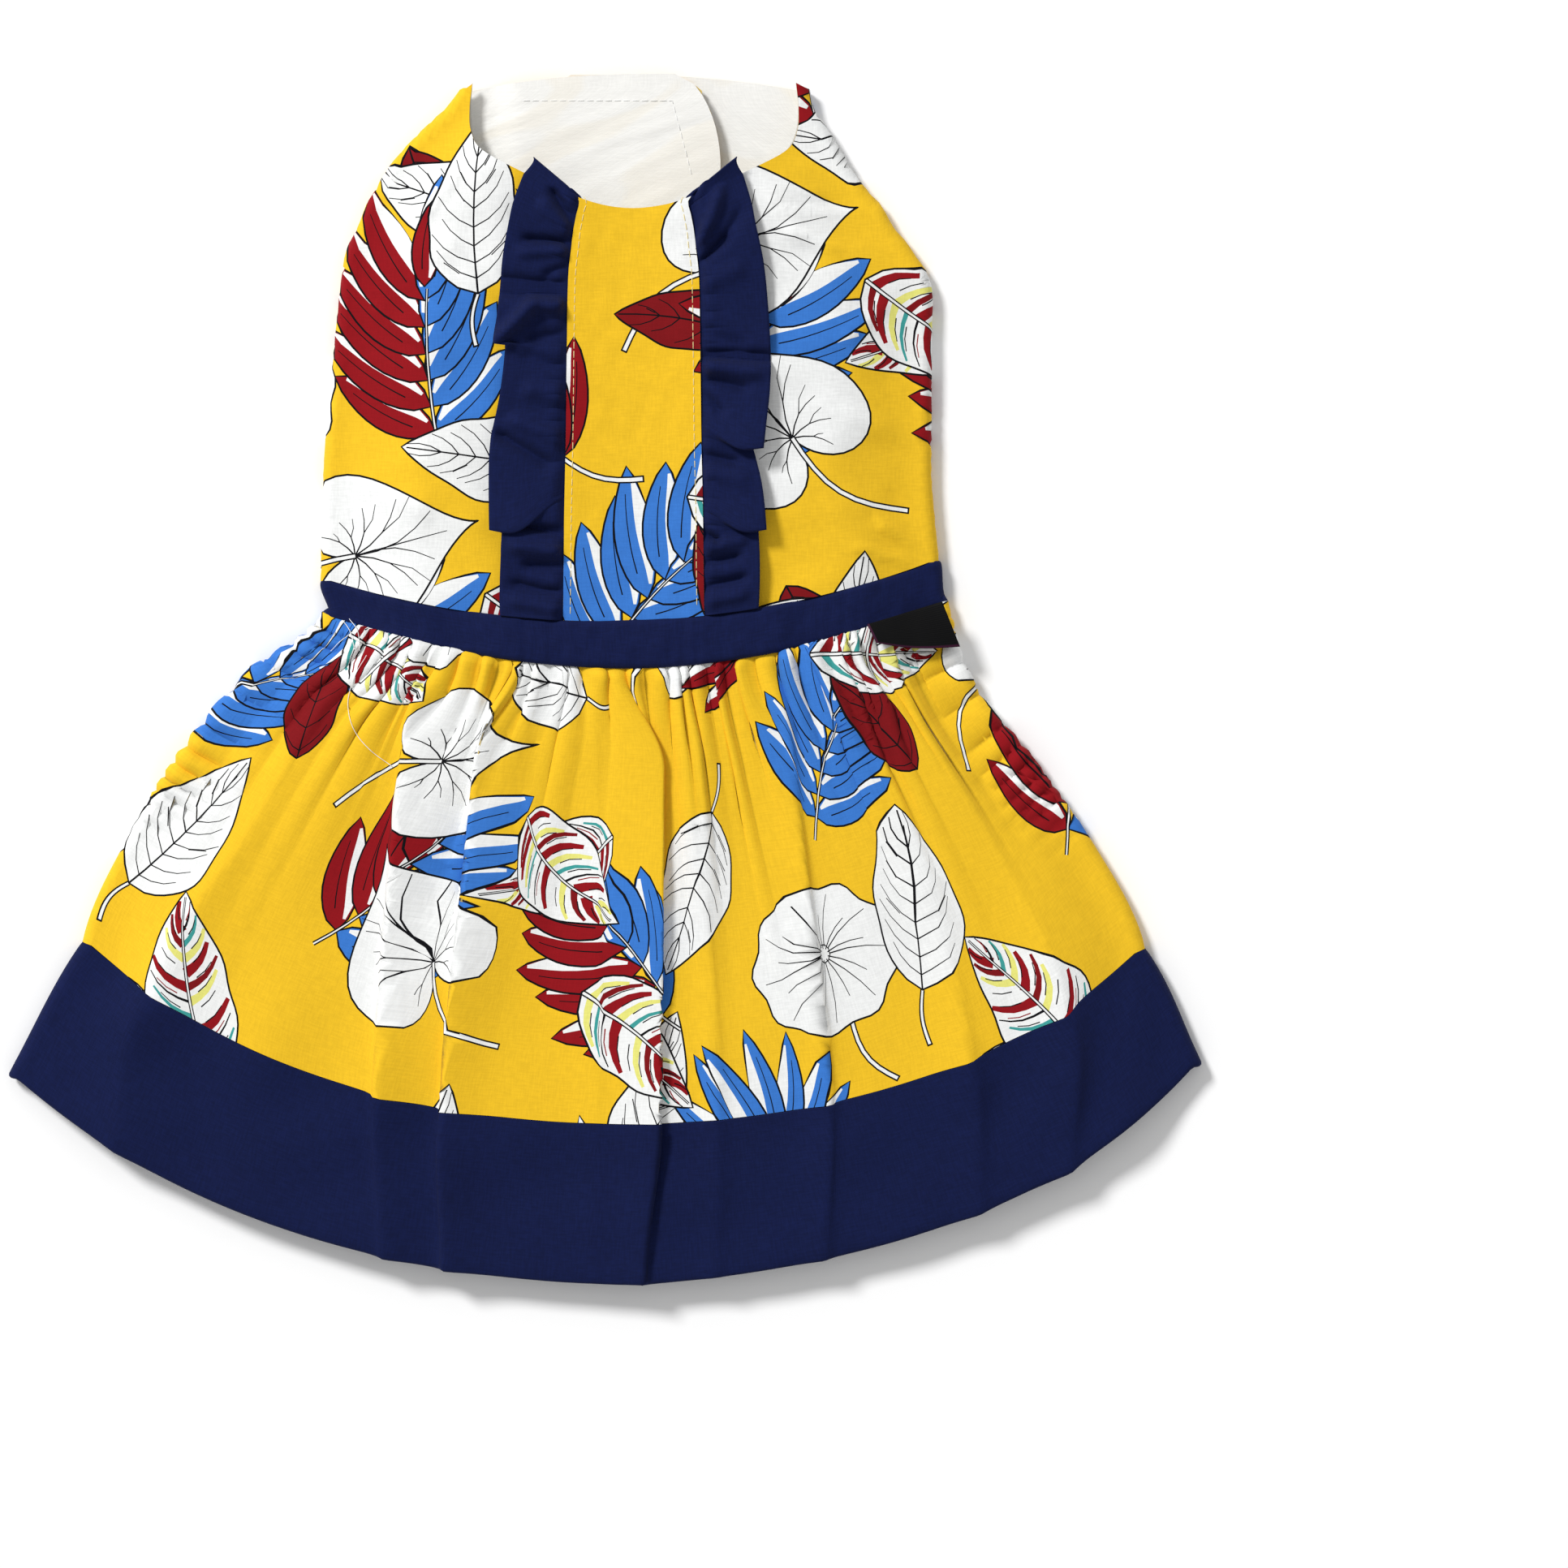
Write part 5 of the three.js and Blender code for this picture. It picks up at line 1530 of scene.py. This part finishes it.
# %% Stitches
STITCH_LENGTH = 2.3
STITCH_GAP = 0.5
STITCH_INSET = 2.2
STITCH_RISE = 0.5
THREAD_RADIUS = 0.13
THREAD_SIDES = 6


def thread_mesh(name, middles, sizes, material):
    """Threads as one mesh. middles: points along each, sizes: its radii there, in mm."""
    vertices = []
    faces = []
    for middle, radii in zip(middles, sizes):
        along = np.gradient(middle, axis=0)
        across = np.stack([-along[:, 1], along[:, 0], np.zeros(len(middle))], 1)
        across = across / np.linalg.norm(across, axis=1)[:, None]
        base = len(vertices)
        for place, side, radius in zip(middle, across, radii):
            for k in range(THREAD_SIDES):
                turn = math.tau * k / THREAD_SIDES
                vertices.append(place + radius * (side * math.cos(turn) + np.array([0, 0, math.sin(turn)])))
        for ring in range(len(middle) - 1):
            for k in range(THREAD_SIDES):
                a = base + ring * THREAD_SIDES + k
                b = base + ring * THREAD_SIDES + (k + 1) % THREAD_SIDES
                faces.append((a, b, b + THREAD_SIDES, a + THREAD_SIDES))
        last = base + THREAD_SIDES * (len(middle) - 1)
        faces.append(tuple(base + k for k in reversed(range(THREAD_SIDES))))
        faces.append(tuple(last + k for k in range(THREAD_SIDES)))
    mesh = bpy.data.meshes.new(name)
    mesh.from_pydata([tuple((v + SHIFT) / 1000) for v in vertices], [], faces)
    mesh.polygons.foreach_set("use_smooth", np.ones(len(faces), bool))
    mesh.materials.append(material)
    return add_piece(name, mesh)


def stitch_mesh(name, lines, material, up=1):
    """Stitches along lines of points on the cloth."""
    middles = []
    for points in lines:
        lengths = np.concatenate([[0], np.cumsum(np.linalg.norm(np.diff(points, axis=0), axis=1))])
        for start in np.arange(0, lengths[-1] - STITCH_LENGTH, STITCH_LENGTH + STITCH_GAP):
            stations = start + STITCH_LENGTH * np.array([0, 0.12, 0.5, 0.88, 1])
            middle = np.stack([np.interp(stations, lengths, points[:, k]) for k in range(3)], 1)
            middle[:, 2] += up * THREAD_RADIUS * np.array([-0.6, 0.5, 0.8, 0.5, -0.6])
            middles.append(middle)
    size = THREAD_RADIUS * np.array([0.5, 0.95, 1, 0.95, 0.5])
    return thread_mesh(name, middles, [size] * len(middles), material)


def polyester_thread(name, colour):
    """Spun sewing thread: a soft shine along the twist, with a fine slanted relief."""
    material, tree = new_material(name)
    place = add_node(tree, "ShaderNodeTexCoord")
    wave = add_node(tree, "ShaderNodeTexWave", {"wave_type": "BANDS", "bands_direction": "DIAGONAL"}, {
        "Vector": place.outputs["Object"], "Scale": 900.0, "Distortion": 1.0})
    give_surface(tree, wave.outputs["Fac"], 0.4, 0.0001, {
        "Base Color": linear(colour), "Roughness": 0.55, "Sheen Weight": 0.2})
    return material


cream_thread = polyester_thread("cream_sewing_thread", "#eedb9a")
white_thread = polyester_thread("white_sewing_thread", "#eeeeec")


def placket_stitch_line(side):
    rows = np.linspace(NECKLINE_ROW + 0.02, WAIST_ROW - 0.05, 120)
    x, y = panel_edge(side, rows)
    points = placket_place(x - side * STITCH_INSET, y)
    points[:, 2] += STITCH_RISE
    return points


placket_stitches = stitch_mesh("placket_stitches", [placket_stitch_line(side) for side in (-1, 1)],
                               cream_thread)


def seam_points(corners, height, step=1.0):
    """Points along straight lines from corner to corner, at one height."""
    points = []
    for start, end in zip(corners, corners[1:]):
        count = max(int(np.hypot(end[0] - start[0], end[1] - start[1]) / step), 2)
        points += [(*mix(np.array(start), np.array(end), k / count), height) for k in range(count)]
    return np.array(points, float)


# The seams that hold the touch-and-close tape: underneath on the outer flaps, and as they
# show on the lining of the inner chest flap, through the neck.
tape_seams = stitch_mesh("tape_seams_below", [
    seam_points([(-27, 160), (4, 160), (4, 121), (-27, 121), (-27, 160)], 0.02),
    seam_points([(-37.5, 47), (-37.5, -8)], 0.02)], white_thread, up=-1)
chest_seam = stitch_mesh("tape_seam_chest", [
    seam_points([(-34.3, 160.2), (11.7, 160.2), (18, 136)], INNER_FLAP_LEVEL + 1.56)], white_thread)


# %% Loose threads
LOOSE_RADIUS = 0.11
LOOSE_REACH = 1.6
LOOSE_RISE = 0.62
# A few ends of sewing thread lie on the skirt by the left end of the waist. x and y in mm.
LOOSE_THREADS = [
    [(-81.8, -10.3), (-85.5, -17), (-87.5, -25.3), (-85.5, -33.3), (-80.5, -39.5), (-73.8, -44.5)],
    [(-89.5, 0.5), (-87, -3), (-85.6, -8)],
    [(-87.5, 1), (-84.6, -3), (-84, -9)],
    [(-86, -3), (-90, -6), (-93, -9)],
]


def lie_on_skirt(corners):
    """A smooth line through the corners that rests on the highest cloth nearby."""
    corners = np.array(corners, float)
    at = np.linspace(0, len(corners) - 1, 8 * len(corners))
    line = np.stack([curve_through(np.arange(len(corners)), corners[:, k], at) for k in (0, 1)], 1)
    near = [skirt_points[np.hypot(*(skirt_points[:, :2] - spot).T) < LOOSE_REACH, 2] for spot in line]
    return np.column_stack([line, [heights.max() + LOOSE_RISE for heights in near]])


loose = [lie_on_skirt(corners) for corners in LOOSE_THREADS]
thin = [np.full(len(line), LOOSE_RADIUS) for line in loose]
loose_threads = thread_mesh("loose_threads", loose, thin, white_thread)


# %% Label
def satin(name, dark, light):
    """Woven polyester satin tape: smooth, with fine ribs across and a soft gloss."""
    material, tree = new_material(name)
    flat_map = add_node(tree, "ShaderNodeUVMap", {"uv_map": "weave"})
    wave = add_node(tree, "ShaderNodeTexWave", {"bands_direction": "Y"}, {
        "Vector": flat_map.outputs["UV"], "Scale": 60.0, "Distortion": 0.4})
    tone = add_node(tree, "ShaderNodeMix", {"data_type": "RGBA"}, {
        0: wave.outputs["Fac"], 6: linear(dark), 7: linear(light)})
    give_surface(tree, wave.outputs["Fac"], 0.3, 0.0001, {
        "Base Color": tone.outputs[2], "Roughness": 0.62, "Specular IOR Level": 0.12})
    return material


# Its corners, left and right: along the waist seam, and at the loose edge. In mm.
LABEL_TOP = np.array([(71.5, -1.0), (94.5, 6.2)])
LABEL_BOTTOM = np.array([(74.3, -6.6), (100.0, -7.6)])
LABEL_RISE = 6.5
LABEL_EDGE = 0.5


def label_place(across, down):
    top = mix(*LABEL_TOP, across[..., None])
    bottom = mix(*LABEL_BOTTOM, across[..., None])
    bottom[..., 1] -= 1.1 * np.sin(math.pi * across)
    place = mix(top, bottom, down[..., None])
    level = skirt_place(np.clip(place[..., 0] / 93.0, -1, 1), 0.02 * down, False)[..., 2]
    curl = 0.7 * down ** 2 * np.sin(across * 5 + 0.6) + 0.6 * bump((across - 0.62) / 0.12) * down
    z = level + LABEL_RISE + curl - 1.6 * (1 - down) ** 2 - 2.2 * smooth((across - 0.7) / 0.3) * down
    return np.concatenate([place, z[..., None]], -1)


tapes = [satin("black_satin_tape", "#040405", "#0c0c0d"), satin("plum_edge", "#2c0d22", "#4a1b3a")]
label = grid_cloth("label_tape", label_place, np.linspace(0, 1, 44), np.linspace(0, 1, 18)[::-1], tapes,
                   wall=0.5, outward=0.2)
label_map = label.data.uv_layers["weave"].data
for face in label.data.polygons:
    spot = np.mean([label_map[i].uv for i in face.loop_indices], axis=0) * 100
    face.material_index = int(spot.min() < LABEL_EDGE)
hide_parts("label")


# %% Closures
def hook_tape():
    """Nylon touch-and-close tape, white, with fine rows of loops."""
    material, tree = new_material("nylon_touch_tape")
    place = add_node(tree, "ShaderNodeTexCoord")
    cells = add_node(tree, "ShaderNodeTexVoronoi", None, {"Vector": place.outputs["Object"], "Scale": 1400.0})
    give_surface(tree, cells.outputs["Distance"], 0.8, 0.0003, {
        "Base Color": linear("#efefed"), "Roughness": 0.6, "IOR": 1.53})
    return material


touch_tape = hook_tape()
for node in ("chest_closure", "belly_closure"):
    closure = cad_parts[node]
    closure.data.materials.clear()
    closure.data.materials.append(touch_tape)
